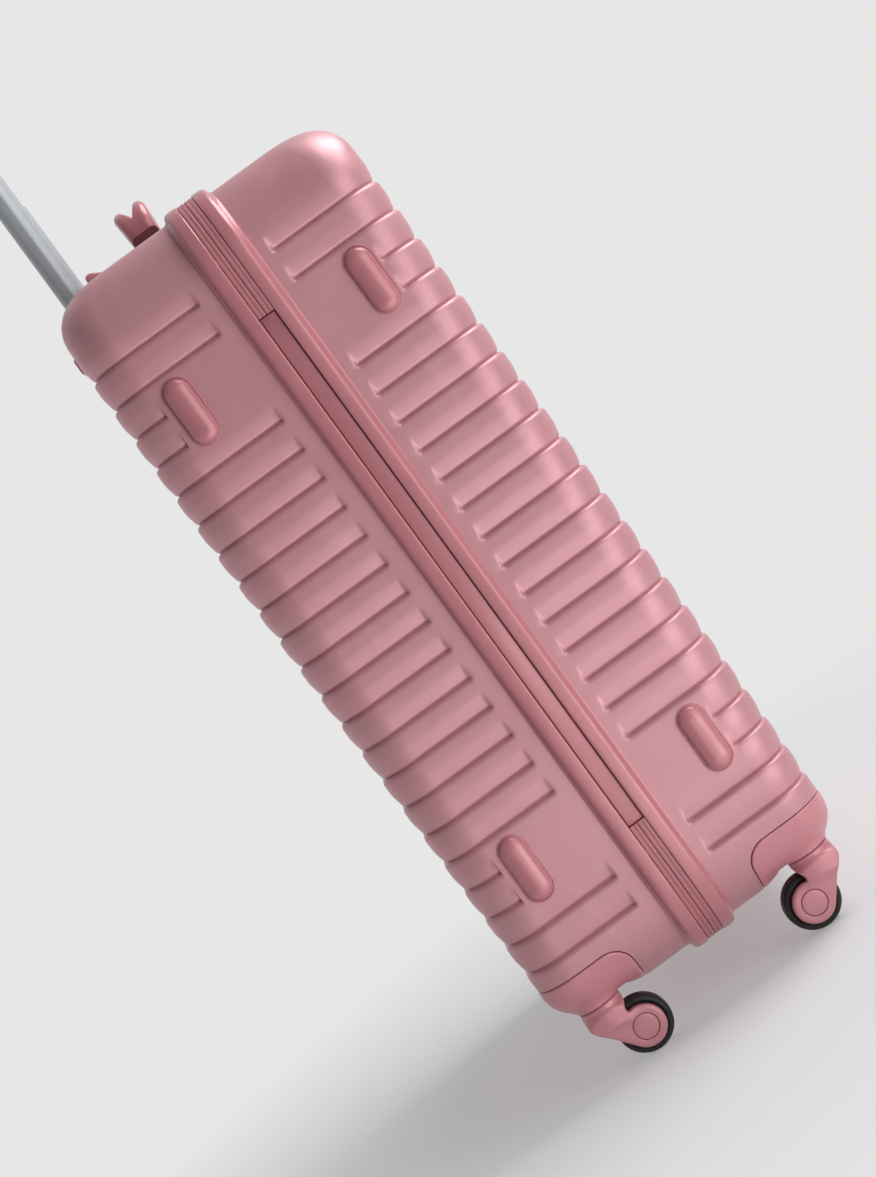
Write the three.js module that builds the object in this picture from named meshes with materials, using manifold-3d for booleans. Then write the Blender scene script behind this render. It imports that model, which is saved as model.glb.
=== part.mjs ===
// Hard shell suitcase on four swivel wheels, with a telescopic trolley handle.
// Millimetres. The front shell faces -Y, the hinge side is -X, +Z is up and the floor is z = 0.
// The two shells meet at the zip, in the plane y = 0, until the last lines centre the whole case.

import * as THREE from 'three';
import { mergeVertices } from 'three/addons/utils/BufferGeometryUtils.js';
import Module from 'manifold-3d';

const wasm = await Module();
wasm.setup();

// ---- Driving dimensions ----------------------------------------------------------------------

const GAP = 0.35;                 // running gap between neighbouring pieces

const HALF_WIDTH = 252;           // shell side faces at x = +-252
const SHELL_LOW = 50.5;
const SHELL_HIGH = 770.5;
const REAR_DEPTH = 145.3;         // zip plane to the crests of the rear face
const FRONT_DEPTH = 135.9;
const FACE_RADIUS = 65;           // corner radius seen from the front
const TOP_RADIUS = 38;            // edge radius seen from the side
const EDGE_RADIUS = 34;           // radius of the four vertical edges
const WALL = 5.2;                 // moulding depth from a crest to the smooth inner face
const BELOW = -60;                // planes well outside the case, for cutting tools
const ABOVE = 900;
const BEYOND = 400;

const GROOVE_ROWS = 22;
const GROOVE_TOP = 698.5;
const GROOVE_PITCH = 27.8;
const GROOVE_DEPTH = 3.4;
const GROOVE_RISE = 4;            // steep lower flank of each groove
const GROOVE_RUNOUT = 2;
const REAR_GROOVE_START = 36.5;   // distance of the groove ends from the zip plane
const FRONT_GROOVE_START = 31.8;
const REAR_SHORT_START = 109;     // groove ends in the rows beside a foot or the side handle
const FRONT_SHORT_START = 97;
const LOCK_START = 67;            // groove ends in the rows beside the lock
const FOOT_ROWS = [2, 3, 18, 19];
const HANDLE_ROWS = [7, 8, 9, 10, 11, 12, 13];
const LOCK_ROWS = [9, 10, 11];

const RIM_PROUD = 6.5;
const RIM_CLEAR = 0.5;
const RIM_NEAR = 7.5;             // the rims start this far from the zip plane
const RIM_FAR = 21;
const ZIP_PROUD = 6;
const ZIP_INSET = 4;

const HINGE_STRIP_LOW = 168.3;
const HINGE_STRIP_HIGH = 659.4;
const HINGE_STRIP_OUTER = 255.8;
const HINGE_STRIP_INNER = 251;

const LINING_GAP = 0.6;
const LINING_THICK = 1.6;
const REAR_LINING_DEPTH = 106;
const FRONT_LINING_DEPTH = 129;
const LINING_START = 22;

const WHEEL_RADIUS = 24.2;
const WHEEL_WIDTH = 20;
const HUB_RADIUS = 16.4;
const AXLE_RADIUS = 3;
const CASTER_X = 207;
const REAR_CASTER_Y = 109.7;
const FRONT_CASTER_Y = -99;
const CASTER_TRAIL = 20.4;
const NECK_RADIUS = 19;
const NECK_TOP = 61.4;
const FORK_HALF_WIDTH = 17;
const FORK_END_RADIUS = 18.2;
const AXLE_CAP_RADIUS = 10.6;
const AXLE_CAP_THICK = 2.6;
const WHEEL_SIDE_GAP = 0.8;
const TYRE_SHOULDER = [2.6, 4.5];  // how far the tread edge is rounded, along the radius and the width
const KING_PIN_RADIUS = 5;
const KING_PIN_TOP = 84;
const DISH_CEILING = 62;
const HOUSING_X = 168;            // inner edge of the caster housings
const REAR_HOUSING_Y = 65;
const FRONT_HOUSING_Y = -53;
const HOUSING_TOP = 96.5;
const HOUSING_CORNER = 20;
const HOUSING_PROUD = 0.5;
const HOUSING_WALL = 3;
const HOUSING_FLOOR = 4;          // thickness over the dish
const PIN_BOSS_WALL = 6;
const DISH_PROFILE = [            // radius, height: the shallow dish that the fork swings in
  [0, 20], [52, 20], [48, SHELL_LOW], [40, 58], [32, DISH_CEILING], [0, DISH_CEILING],
];

const FOOT_LENGTH = 58;
const FOOT_WIDTH = 22.5;
const FOOT_PROUD = 7;
const FOOT_HIGH_Z = 634.3;
const FOOT_LOW_Z = 189.5;
const REAR_FOOT_Y = 92;
const FRONT_FOOT_Y = -83;

const TROLLEY_Y = 121.7;
const TROLLEY_X = 85;             // half the distance between the two tubes
const TROLLEY_FOOT_Z = 78;
const TROLLEY_FOOT_HEIGHT = 20;
const TROLLEY_FOOT_FLOOR = 6;
const LOWER_TUBE_SPAN = [473, 893];  // drawn out
const UPPER_TUBE_LOW = 650;
const TUBE_SECTIONS = {           // outer width along X, outer depth along Y, wall
  channel: [18.8, 22.4, 1.5],
  lower: [15, 18.6, 1.2],
  upper: [11.8, 15.4, 1.2],
};
const CUP_HALF_LENGTH = 118;
const CUP_FLOOR = 735;
const CUP_FRONT = 102;
const CUP_WALL = 3;
const CUP_LOW = 718;
const CUP_REAR = 150.3;
const CUP_LIP = 786;
const CUP_SLOPE_START = 62;       // the front lip climbs from here to its edge
const CUP_CORNER = 6;
const GRIP_BOTTOM = 1046;
const GRIP_HEIGHT = 34;
const GRIP_DEPTH = 30;
const GRIP_HALF_LENGTH = 104;
const GRIP_CORNER = 11;
const GRIP_SOCKET = 20;
const BUTTON_HALF_LENGTH = 17;
const BUTTON_HALF_WIDTH = 6;
const BUTTON_DEEP = 7;
const BUTTON_PROUD = 1.5;

const HANDLE_WIDTH = 31;
const HANDLE_HALF_SPAN = 92;
const HANDLE_THICK = 13;
const HANDLE_LEG = 10;            // thickness of each leg along the handle
const HANDLE_SHOULDER = 38;       // length of the bend from a leg to the straight top
const HANDLE_FOOT = 2;            // height of the leg ends over the shell
const CHANNEL_HALF_WIDTH = 7.5;   // V channel along the back of the handle
const CHANNEL_DEPTH = 8.5;
const ANCHOR_HEIGHT = 7;
const ANCHOR_MARGIN = 2.5;
const HANDLE_Y = 40;
const TOP_HANDLE_HEIGHT = 44;
const SIDE_HANDLE_HEIGHT = 36;
const SIDE_HANDLE_Y = 80;
const MIDDLE_Z = (SHELL_LOW + SHELL_HIGH) / 2;

const LOCK_Y = -40;
const LOCK_WIDTH = 32;
const LOCK_LENGTH = 66;
const LOCK_OUTER = 266;
const DIAL_RADIUS = 5.4;
const DIAL_WIDTH = 5;
const DIAL_PITCH = 7.4;
const DIAL_X = 261.4;
const SHAFT_RADIUS = 1.3;
const LOCK_CORNER = 7;
const RELEASE_SIZE = 7;
const RELEASE_LOW = 27;           // how far the release lies below the middle of the lock
const SLIDER_Z = 15;
const PULL_LENGTH = 26;
const PULL_HALF_WIDTH = 2.6;
const STRAP_WIDTH = 26;
const STRAP_LEVELS = [200, 620];
const STRAP_Y = [26, 28];
const BUCKLE = { halfWidth: 24, halfHeight: 18, near: 24.5, far: 30, corner: 6 };
const POCKET = { halfWidth: 180, low: 180, high: 560, thick: 2, corner: 20 };
const BRIDGE_RADIUS = 0.9;
const ZIP_OUTER = HALF_WIDTH + ZIP_PROUD;
const PULL_AXIS_X = ZIP_OUTER + 6;

// ---- Materials -------------------------------------------------------------------------------

const COLOURS = {
  shell: [0xc08088, 0.42, 0.1],
  trim: [0xb86f79, 0.35, 0.05],
  zip: [0xa8606a, 0.6, 0],
  tyre: [0x2a2828, 0.75, 0],
  hub: [0x8f8c8c, 0.5, 0],
  aluminium: [0xa9adb3, 0.35, 0.9],
  steel: [0xb8bbc0, 0.3, 1],
  lining: [0x8c7476, 0.9, 0],
  strap: [0x5d4a4c, 0.85, 0],
};

function material(name) {
  const [color, roughness, metalness] = COLOURS[name];
  return new THREE.MeshStandardMaterial({ color, roughness, metalness });
}

// ---- Solids ----------------------------------------------------------------------------------

function toManifold(geometry) {
  const bare = geometry.clone();
  bare.deleteAttribute('normal');
  bare.deleteAttribute('uv');
  const merged = mergeVertices(bare, 1e-4);
  const vertProperties = new Float32Array(merged.attributes.position.array);
  const triVerts = new Uint32Array(merged.index.array);
  return new wasm.Manifold(new wasm.Mesh({ numProp: 3, vertProperties, triVerts }));
}

function toGeometry(manifold) {
  const mesh = manifold.getMesh();
  const geometry = new THREE.BufferGeometry();
  geometry.setAttribute('position', new THREE.BufferAttribute(mesh.vertProperties, 3));
  geometry.setIndex(new THREE.BufferAttribute(mesh.triVerts, 1));
  return geometry;
}

function cut(body, ...tools) {
  return tools.reduce((left, tool) => left.subtract(tool), body);
}

function join(body, ...others) {
  return others.reduce((whole, other) => whole.add(other), body);
}

// An outline pushed along +Z for a length, with its edges bevelled inwards.
function extrude(outline, length, curveSegments, bevel) {
  return new THREE.ExtrudeGeometry(outline, {
    depth: length - 2 * bevel,
    curveSegments,
    bevelEnabled: bevel > 0,
    bevelThickness: bevel,
    bevelSize: bevel,
    bevelOffset: -bevel,
    bevelSegments: 1,
  }).translate(0, 0, bevel);
}

// An outline drawn in (x, z), pushed from y = near to y = far.
function alongY(outline, near, far, curveSegments = 4, bevel = 0) {
  const geometry = extrude(outline, far - near, curveSegments, bevel);
  const basis = new THREE.Matrix4().makeBasis(
    new THREE.Vector3(1, 0, 0), new THREE.Vector3(0, 0, 1), new THREE.Vector3(0, -1, 0));
  return geometry.applyMatrix4(basis).translate(0, far, 0);
}

// An outline drawn in (y, z), pushed from x = near to x = far.
function alongX(outline, near, far, curveSegments = 4, bevel = 0) {
  const geometry = extrude(outline, far - near, curveSegments, bevel);
  const basis = new THREE.Matrix4().makeBasis(
    new THREE.Vector3(0, 1, 0), new THREE.Vector3(0, 0, 1), new THREE.Vector3(1, 0, 0));
  return geometry.applyMatrix4(basis).translate(near, 0, 0);
}

// An outline drawn in (x, y), pushed from z = low to z = high.
function alongZ(outline, low, high, curveSegments = 4, bevel = 0) {
  return extrude(outline, high - low, curveSegments, bevel).translate(0, 0, low);
}

function box(x0, x1, y0, y1, z0, z1) {
  const geometry = new THREE.BoxGeometry(x1 - x0, y1 - y0, z1 - z0);
  return geometry.translate((x0 + x1) / 2, (y0 + y1) / 2, (z0 + z1) / 2);
}

function cylinderX(radius, x0, x1, y, z, segments = 16) {
  const geometry = new THREE.CylinderGeometry(radius, radius, x1 - x0, segments);
  return geometry.rotateZ(Math.PI / 2).translate((x0 + x1) / 2, y, z);
}

function cylinderZ(radius, z0, z1, x, y, segments = 16) {
  const geometry = new THREE.CylinderGeometry(radius, radius, z1 - z0, segments);
  return geometry.rotateX(Math.PI / 2).translate(x, y, (z0 + z1) / 2);
}

function roundedRect(x0, x1, y0, y1, radius) {
  const shape = new THREE.Shape();
  shape.moveTo(x1, y0 + radius);
  shape.absarc(x1 - radius, y1 - radius, radius, 0, Math.PI / 2, false);
  shape.absarc(x0 + radius, y1 - radius, radius, Math.PI / 2, Math.PI, false);
  shape.absarc(x0 + radius, y0 + radius, radius, Math.PI, 1.5 * Math.PI, false);
  shape.absarc(x1 - radius, y0 + radius, radius, 1.5 * Math.PI, 2 * Math.PI, false);
  return shape;
}

function polygon(points) {
  return new THREE.Shape(points.map(([a, b]) => new THREE.Vector2(a, b)));
}

// A closed solid through a stack of rings that all have the same number of points.
function loft(rings) {
  const count = rings[0].length;
  const positions = rings.flat().flatMap((p) => [p.x, p.y, p.z]);
  const index = [];
  for (let r = 0; r + 1 < rings.length; r += 1) {
    for (let i = 0; i < count; i += 1) {
      const a = r * count + i;
      const b = r * count + ((i + 1) % count);
      index.push(a, b, b + count, a, b + count, a + count);
    }
  }
  const faces = THREE.ShapeUtils.triangulateShape(rings[0].map((p) => new THREE.Vector2(p.x, p.y)), []);
  const last = (rings.length - 1) * count;
  for (const [a, b, c] of faces) {
    index.push(c, b, a);
    index.push(last + a, last + b, last + c);
  }
  const geometry = new THREE.BufferGeometry();
  geometry.setAttribute('position', new THREE.Float32BufferAttribute(positions, 3));
  geometry.setIndex(index);
  return geometry;
}

// ---- Shell form ------------------------------------------------------------------------------

// How far a rounded corner of this radius has pulled in at a height above the end of the shell.
function pullIn(radius, height) {
  const rest = Math.max(0, radius - height);
  return radius - Math.sqrt(radius * radius - rest * rest);
}

// One level of half a case: from the zip plane round the face and back, seen from above.
// side is +1 for the rear half and -1 for the front half; notch is the groove depth there.
function shellRing(z, form, notch, starts) {
  const { side, depth, inset, open } = form;
  const height = Math.min(z - (SHELL_LOW + inset), SHELL_HIGH - inset - z);
  const half = HALF_WIDTH - inset - pullIn(FACE_RADIUS - inset, height);
  const far = depth - inset - pullIn(TOP_RADIUS - inset, height);
  const radius = EDGE_RADIUS - inset;
  const steps = 3;
  const flank = (sign, start) => {
    const points = [[half, open], [half, start], [half - notch, start + GROOVE_RUNOUT]];
    for (let i = 0; i <= steps; i += 1) {
      const angle = (i / steps) * (Math.PI / 2);
      const reach = radius - notch;
      points.push([half - radius + reach * Math.cos(angle), far - radius + reach * Math.sin(angle)]);
    }
    return points.map(([x, y]) => new THREE.Vector3(sign * x, side * y, z));
  };
  const hingeSide = flank(-1, starts[0]);
  const handleSide = flank(1, starts[1]);
  const ring = [...handleSide, ...hingeSide.reverse()];
  return side > 0 ? ring : ring.reverse();
}

// Where the grooves of one row start on the hinge side and on the handle side.
function grooveStarts(row, side) {
  const rear = side > 0;
  const long = rear ? REAR_GROOVE_START : FRONT_GROOVE_START;
  const besideFoot = rear ? REAR_SHORT_START : FRONT_SHORT_START;
  const besideFitting = rear ? REAR_SHORT_START : LOCK_START;
  const fittingRows = rear ? HANDLE_ROWS : LOCK_ROWS;
  return [
    FOOT_ROWS.includes(row) ? besideFoot : long,
    fittingRows.includes(row) ? besideFitting : long,
  ];
}

function cornerLevels(inset, steps = 7) {
  const radius = FACE_RADIUS - inset;
  return Array.from({ length: steps + 1 }, (_, i) => radius * (1 - Math.cos((i / steps) * (Math.PI / 2))));
}

// The outside of a shell with its grooves, grown outwards by a negative inset.
function groovedForm(side, depth) {
  const form = { side, depth, inset: 0, open: RIM_NEAR };
  const plain = grooveStarts(0, side);
  const levels = cornerLevels(0).map((height) => [SHELL_LOW + height, 0, plain]);
  for (let row = GROOVE_ROWS - 1; row >= 0; row -= 1) {
    const z = GROOVE_TOP - row * GROOVE_PITCH;
    const starts = grooveStarts(row, side);
    if (row < GROOVE_ROWS - 1) levels.push([z - GROOVE_RISE, 0, starts]);
    levels.push([z, GROOVE_DEPTH, starts]);
  }
  const top = cornerLevels(0).reverse().map((height) => [SHELL_HIGH - height, 0, plain]);
  levels.push([GROOVE_TOP + GROOVE_PITCH / 2, 0, plain]);
  levels.push(...top.filter(([z]) => z > GROOVE_TOP + GROOVE_PITCH / 2));
  levels.sort((a, b) => a[0] - b[0]);
  return loft(levels.map(([z, notch, starts]) => shellRing(z, form, notch, starts)));
}

function smoothForm(side, depth, inset, open) {
  const form = { side, depth, inset, open };
  const starts = [FRONT_GROOVE_START, FRONT_GROOVE_START];
  const heights = cornerLevels(inset, 5);
  const low = heights.map((height) => SHELL_LOW + inset + height);
  const high = heights.reverse().map((height) => SHELL_HIGH - inset - height);
  return loft([...low, ...high].map((z) => shellRing(z, form, 0, starts)));
}

// ---- Casters ---------------------------------------------------------------------------------

const CASTERS = [
  { name: 'rear_left', x: -CASTER_X, y: REAR_CASTER_Y, side: 1, edge: REAR_HOUSING_Y },
  { name: 'rear_right', x: CASTER_X, y: REAR_CASTER_Y, side: 1, edge: REAR_HOUSING_Y },
  { name: 'front_left', x: -CASTER_X, y: FRONT_CASTER_Y, side: -1, edge: -FRONT_HOUSING_Y },
  { name: 'front_right', x: CASTER_X, y: FRONT_CASTER_Y, side: -1, edge: -FRONT_HOUSING_Y },
];

// The block of space that a housing takes out of a bottom corner, grown by a margin.
function housingSpace(caster, margin) {
  const top = HOUSING_TOP + margin;
  const sideView = roundedRect(caster.edge - margin, BEYOND, BELOW, top, HOUSING_CORNER);
  const frontView = roundedRect(HOUSING_X - margin, BEYOND, BELOW, top, HOUSING_CORNER);
  const low = toManifold(alongX(sideView, 0, BEYOND, 3));
  const deep = toManifold(alongY(frontView, 0, BEYOND, 3));
  return low.intersect(deep).scale([Math.sign(caster.x), caster.side, 1]);
}

// The shallow dish under a housing in which the fork and the wheel swing.
function dish(caster) {
  const geometry = new THREE.LatheGeometry(DISH_PROFILE.map(([r, z]) => new THREE.Vector2(r, z)), 18);
  return toManifold(geometry.rotateX(Math.PI / 2).translate(caster.x, caster.y, 0));
}

function casterHousing(caster, depth) {
  const skin = toManifold(smoothForm(caster.side, depth, -HOUSING_PROUD, RIM_NEAR));
  const inner = toManifold(smoothForm(caster.side, depth, HOUSING_WALL, 0));
  const block = skin.intersect(housingSpace(caster, -GAP));
  const hollow = inner.intersect(housingSpace(caster, -HOUSING_WALL - GAP));
  const above = toManifold(box(-BEYOND, BEYOND, -BEYOND, BEYOND, DISH_CEILING + HOUSING_FLOOR, ABOVE));
  const well = hollow.intersect(above);
  const openTop = well.translate([0, 0, 2 * HOUSING_WALL]);
  const { x, y } = caster;
  const boss = toManifold(cylinderZ(KING_PIN_RADIUS + PIN_BOSS_WALL, DISH_CEILING, KING_PIN_TOP, x, y));
  const bore = toManifold(cylinderZ(KING_PIN_RADIUS + GAP, BELOW, KING_PIN_TOP + PIN_BOSS_WALL, x, y));
  return cut(join(cut(block, well, openTop, dish(caster)), boss), bore);
}

// The fork: a round neck that leans back into two cheeks around the wheel, with its king pin.
function fork(caster) {
  const { x, y, side } = caster;
  const axleY = y - side * CASTER_TRAIL;
  const outline = new THREE.Shape();
  const lean = Math.atan2(CASTER_TRAIL, NECK_RADIUS + 2);
  outline.moveTo(NECK_RADIUS, NECK_TOP);
  outline.lineTo(-NECK_RADIUS, NECK_TOP);
  outline.lineTo(-NECK_RADIUS, 50);
  outline.quadraticCurveTo(-NECK_RADIUS - 1, 45, -CASTER_TRAIL - 3, WHEEL_RADIUS + FORK_END_RADIUS);
  outline.absarc(-CASTER_TRAIL, WHEEL_RADIUS, FORK_END_RADIUS, Math.PI / 2 + 0.15,
    2 * Math.PI - lean + 0.05, false);
  outline.lineTo(NECK_RADIUS, 46);
  outline.closePath();
  const cheeks = toManifold(alongX(outline, -FORK_HALF_WIDTH, FORK_HALF_WIDTH, 5));
  const slab = toManifold(alongX(outline, -NECK_RADIUS, NECK_RADIUS, 5));
  const neck = slab.intersect(toManifold(cylinderZ(NECK_RADIUS - 0.05, 20, 80, 0, 0, 18)));
  const slot = WHEEL_WIDTH / 2 + WHEEL_SIDE_GAP;
  const wheelSpace = toManifold(cylinderX(WHEEL_RADIUS + 2, -slot, slot, -CASTER_TRAIL, WHEEL_RADIUS, 16));
  const below = toManifold(box(-slot, slot, BELOW, -CASTER_TRAIL, BELOW, WHEEL_RADIUS + FORK_END_RADIUS));
  const seat = FORK_HALF_WIDTH - AXLE_CAP_THICK - GAP;
  const capSeat = toManifold(cylinderX(AXLE_CAP_RADIUS + GAP, -BEYOND, BEYOND, -CASTER_TRAIL, WHEEL_RADIUS));
  const middle = toManifold(box(-seat, seat, -BEYOND, BEYOND, BELOW, ABOVE));
  const bore = toManifold(cylinderX(AXLE_RADIUS + GAP, -BEYOND, BEYOND, -CASTER_TRAIL, WHEEL_RADIUS));
  const pin = toManifold(cylinderZ(KING_PIN_RADIUS, NECK_TOP - 8, KING_PIN_TOP, 0, 0));
  const solid = cut(join(cheeks, neck), wheelSpace, below, capSeat.subtract(middle), bore);
  const placed = join(solid, pin);
  return placed.scale([1, side, 1]).translate([x, y, 0]);
}

function axle(caster) {
  const y = caster.y - caster.side * CASTER_TRAIL;
  const shoulder = FORK_HALF_WIDTH - AXLE_CAP_THICK;
  const profile = [
    [0, -FORK_HALF_WIDTH], [AXLE_CAP_RADIUS, -FORK_HALF_WIDTH], [AXLE_CAP_RADIUS, -shoulder],
    [AXLE_RADIUS, -shoulder], [AXLE_RADIUS, shoulder],
    [AXLE_CAP_RADIUS, shoulder], [AXLE_CAP_RADIUS, FORK_HALF_WIDTH], [0, FORK_HALF_WIDTH],
  ];
  const geometry = new THREE.LatheGeometry(profile.map(([r, t]) => new THREE.Vector2(r, t)), 14);
  return geometry.rotateZ(-Math.PI / 2).translate(caster.x, y, WHEEL_RADIUS);
}

function wheelRing(caster, profile, segments) {
  const y = caster.y - caster.side * CASTER_TRAIL;
  const points = profile.map(([r, t]) => new THREE.Vector2(r, t));
  points.push(points[0].clone());
  const geometry = new THREE.LatheGeometry(points, segments);
  return geometry.rotateZ(-Math.PI / 2).translate(caster.x, y, WHEEL_RADIUS);
}

function tyre(caster) {
  const half = WHEEL_WIDTH / 2;
  const bead = HUB_RADIUS + GAP;
  const [drop, width] = TYRE_SHOULDER;
  return wheelRing(caster, [
    [bead, -half], [WHEEL_RADIUS - drop, -half], [WHEEL_RADIUS, -half + width],
    [WHEEL_RADIUS, half - width], [WHEEL_RADIUS - drop, half], [bead, half],
  ], 28);
}

function hub(caster) {
  const half = WHEEL_WIDTH / 2;
  const bore = AXLE_RADIUS + GAP;
  return wheelRing(caster, [
    [bore, -half], [HUB_RADIUS, -half], [HUB_RADIUS, half], [bore, half],
  ], 16);
}

// ---- Trolley handle --------------------------------------------------------------------------

function tubeOutline([width, depth, wall], x, grow = 0) {
  const corner = width / 2 - 0.4;
  const outer = roundedRect(x - width / 2 - grow, x + width / 2 + grow, TROLLEY_Y - depth / 2 - grow,
    TROLLEY_Y + depth / 2 + grow, corner + grow);
  if (grow > 0) return outer;
  outer.holes.push(roundedRect(x - width / 2 + wall, x + width / 2 - wall, TROLLEY_Y - depth / 2 + wall,
    TROLLEY_Y + depth / 2 - wall, corner - wall));
  return outer;
}

function tube(section, x, low, high) {
  return alongZ(tubeOutline(section, x), low, high, 2);
}

// The block at the bottom of the case that holds the lower ends of both channels.
function trolleyFoot() {
  const low = TROLLEY_FOOT_Z;
  const block = toManifold(box(-TROLLEY_X - 16, TROLLEY_X + 16, TROLLEY_Y - 13, TROLLEY_Y + 13,
    low, low + TROLLEY_FOOT_HEIGHT));
  const sockets = [-TROLLEY_X, TROLLEY_X].map((x) => (
    toManifold(alongZ(tubeOutline(TUBE_SECTIONS.channel, x, GAP), low + TROLLEY_FOOT_FLOOR, ABOVE, 2))));
  return cut(block, ...sockets);
}

// The open cup in the top rear edge that the grip drops into: a trough with two end plates.
function trolleyCup() {
  const trough = new THREE.Shape();
  trough.moveTo(CUP_SLOPE_START, SHELL_HIGH + GAP);
  trough.quadraticCurveTo(CUP_SLOPE_START + 18, SHELL_HIGH + 4, CUP_FRONT - CUP_CORNER, CUP_LIP);
  trough.quadraticCurveTo(CUP_FRONT, CUP_LIP + 1, CUP_FRONT, CUP_LIP - CUP_CORNER + 1);
  trough.lineTo(CUP_FRONT, CUP_FLOOR + CUP_CORNER);
  trough.quadraticCurveTo(CUP_FRONT, CUP_FLOOR, CUP_FRONT + CUP_CORNER, CUP_FLOOR);
  trough.lineTo(REAR_DEPTH, CUP_FLOOR);
  trough.quadraticCurveTo(CUP_REAR, CUP_FLOOR, CUP_REAR, CUP_FLOOR - 5);
  trough.lineTo(CUP_REAR, CUP_LOW + 2);
  trough.lineTo(CUP_REAR - 2, CUP_LOW);
  trough.lineTo(REAR_DEPTH + GAP, CUP_LOW);
  trough.lineTo(REAR_DEPTH + GAP, CUP_FLOOR - CUP_WALL - 1);
  trough.lineTo(CUP_FRONT - CUP_WALL, CUP_FLOOR - CUP_WALL - 1);
  trough.lineTo(CUP_FRONT - CUP_WALL, SHELL_HIGH + GAP);
  trough.closePath();
  const ends = new THREE.Shape();
  ends.moveTo(CUP_FRONT - 1, CUP_FLOOR - 1);
  ends.lineTo(CUP_FRONT - 1, SHELL_HIGH - 1);
  ends.lineTo(REAR_DEPTH - TOP_RADIUS, SHELL_HIGH - 1);
  const bend = TOP_RADIUS - 1;
  ends.absarc(REAR_DEPTH - TOP_RADIUS, SHELL_HIGH - TOP_RADIUS, bend, Math.PI / 2, 0.1, true);
  ends.lineTo(REAR_DEPTH - 1, CUP_FLOOR - 1);
  ends.closePath();
  const outer = CUP_HALF_LENGTH - GAP;
  const inner = CUP_HALF_LENGTH - CUP_WALL;
  const holes = [-TROLLEY_X, TROLLEY_X].map((x) => (
    toManifold(alongZ(tubeOutline(TUBE_SECTIONS.lower, x, GAP), CUP_LOW, CUP_LIP, 2))));
  const body = join(toManifold(alongX(trough, -outer, outer)),
    toManifold(alongX(ends, -outer, -inner, 5)),
    toManifold(alongX(ends, inner, outer, 5)));
  return cut(body, ...holes);
}

// The space that the cup takes out of the rear shell.
function cupSpace() {
  const front = CUP_FRONT - CUP_WALL - GAP;
  const floor = CUP_FLOOR - CUP_WALL - 1 - GAP;
  return toManifold(box(-CUP_HALF_LENGTH, CUP_HALF_LENGTH, front, BEYOND, floor, ABOVE));
}

function buttonOutline(margin) {
  const length = BUTTON_HALF_LENGTH + margin;
  const width = BUTTON_HALF_WIDTH + margin;
  return roundedRect(-length, length, TROLLEY_Y - width, TROLLEY_Y + width, BUTTON_HALF_WIDTH);
}

function trolleyGrip() {
  const y0 = TROLLEY_Y - GRIP_DEPTH / 2;
  const top = GRIP_BOTTOM + GRIP_HEIGHT;
  const outline = roundedRect(y0, y0 + GRIP_DEPTH, GRIP_BOTTOM, top, GRIP_CORNER);
  const bar = toManifold(alongX(outline, -GRIP_HALF_LENGTH, GRIP_HALF_LENGTH, 4, 4));
  const sockets = [-TROLLEY_X, TROLLEY_X].map((x) => (
    toManifold(alongZ(tubeOutline(TUBE_SECTIONS.upper, x, GAP), CUP_LIP, GRIP_BOTTOM + GRIP_SOCKET, 2))));
  const buttonWell = toManifold(alongZ(buttonOutline(GAP), top - BUTTON_DEEP - 5, top + 5));
  return cut(bar, ...sockets, buttonWell);
}

function gripButton() {
  const top = GRIP_BOTTOM + GRIP_HEIGHT;
  return alongZ(buttonOutline(0), top - BUTTON_DEEP, top + BUTTON_PROUD, 4, 1);
}

// ---- Carry handles ---------------------------------------------------------------------------

// A moulded arch with a channel along its back, standing on z = 0 and running along X.
function handleArch(crest) {
  const leg = HANDLE_HALF_SPAN;
  const inside = leg - HANDLE_LEG;
  const shoulder = leg - HANDLE_SHOULDER;
  const under = crest - HANDLE_THICK;
  const outline = new THREE.Shape();
  outline.moveTo(-leg, HANDLE_FOOT);
  outline.lineTo(-leg, crest * 0.45);
  outline.bezierCurveTo(-leg, crest * 0.85, -shoulder - 20, crest, -shoulder, crest);
  outline.lineTo(shoulder, crest);
  outline.bezierCurveTo(shoulder + 20, crest, leg, crest * 0.85, leg, crest * 0.45);
  outline.lineTo(leg, HANDLE_FOOT);
  outline.lineTo(inside, HANDLE_FOOT);
  outline.lineTo(inside, HANDLE_LEG);
  outline.bezierCurveTo(inside, crest * 0.55, shoulder + 16, under, shoulder - 4, under);
  outline.lineTo(-shoulder + 4, under);
  outline.bezierCurveTo(-shoulder - 16, under, -inside, crest * 0.55, -inside, HANDLE_LEG);
  outline.lineTo(-inside, HANDLE_FOOT);
  outline.closePath();
  const half = HANDLE_WIDTH / 2;
  const arch = toManifold(alongY(outline, -half, half, 6, 2));
  const valley = polygon([
    [-CHANNEL_HALF_WIDTH, crest + 1], [0, crest - CHANNEL_DEPTH], [CHANNEL_HALF_WIDTH, crest + 1]]);
  return arch.subtract(toManifold(alongX(valley, -BEYOND, BEYOND)));
}

// The low oval socket that each leg of the arch slides in.
function handleAnchor(end) {
  const x = end * (HANDLE_HALF_SPAN - HANDLE_LEG / 2);
  const width = HANDLE_WIDTH / 2 + ANCHOR_MARGIN;
  const outline = roundedRect(x - HANDLE_LEG, x + HANDLE_LEG, -width, width, HANDLE_LEG - 1);
  const base = toManifold(alongZ(outline, 0, ANCHOR_HEIGHT));
  const length = HANDLE_LEG / 2 + GAP;
  const half = HANDLE_WIDTH / 2 + GAP;
  const socket = toManifold(box(x - length, x + length, -half, half, HANDLE_FOOT - 0.5, BEYOND));
  return base.subtract(socket);
}

// ---- Lock and zip sliders --------------------------------------------------------------------

const dialHeights = [-1, 0, 1].map((step) => MIDDLE_Z + step * DIAL_PITCH);

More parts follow.
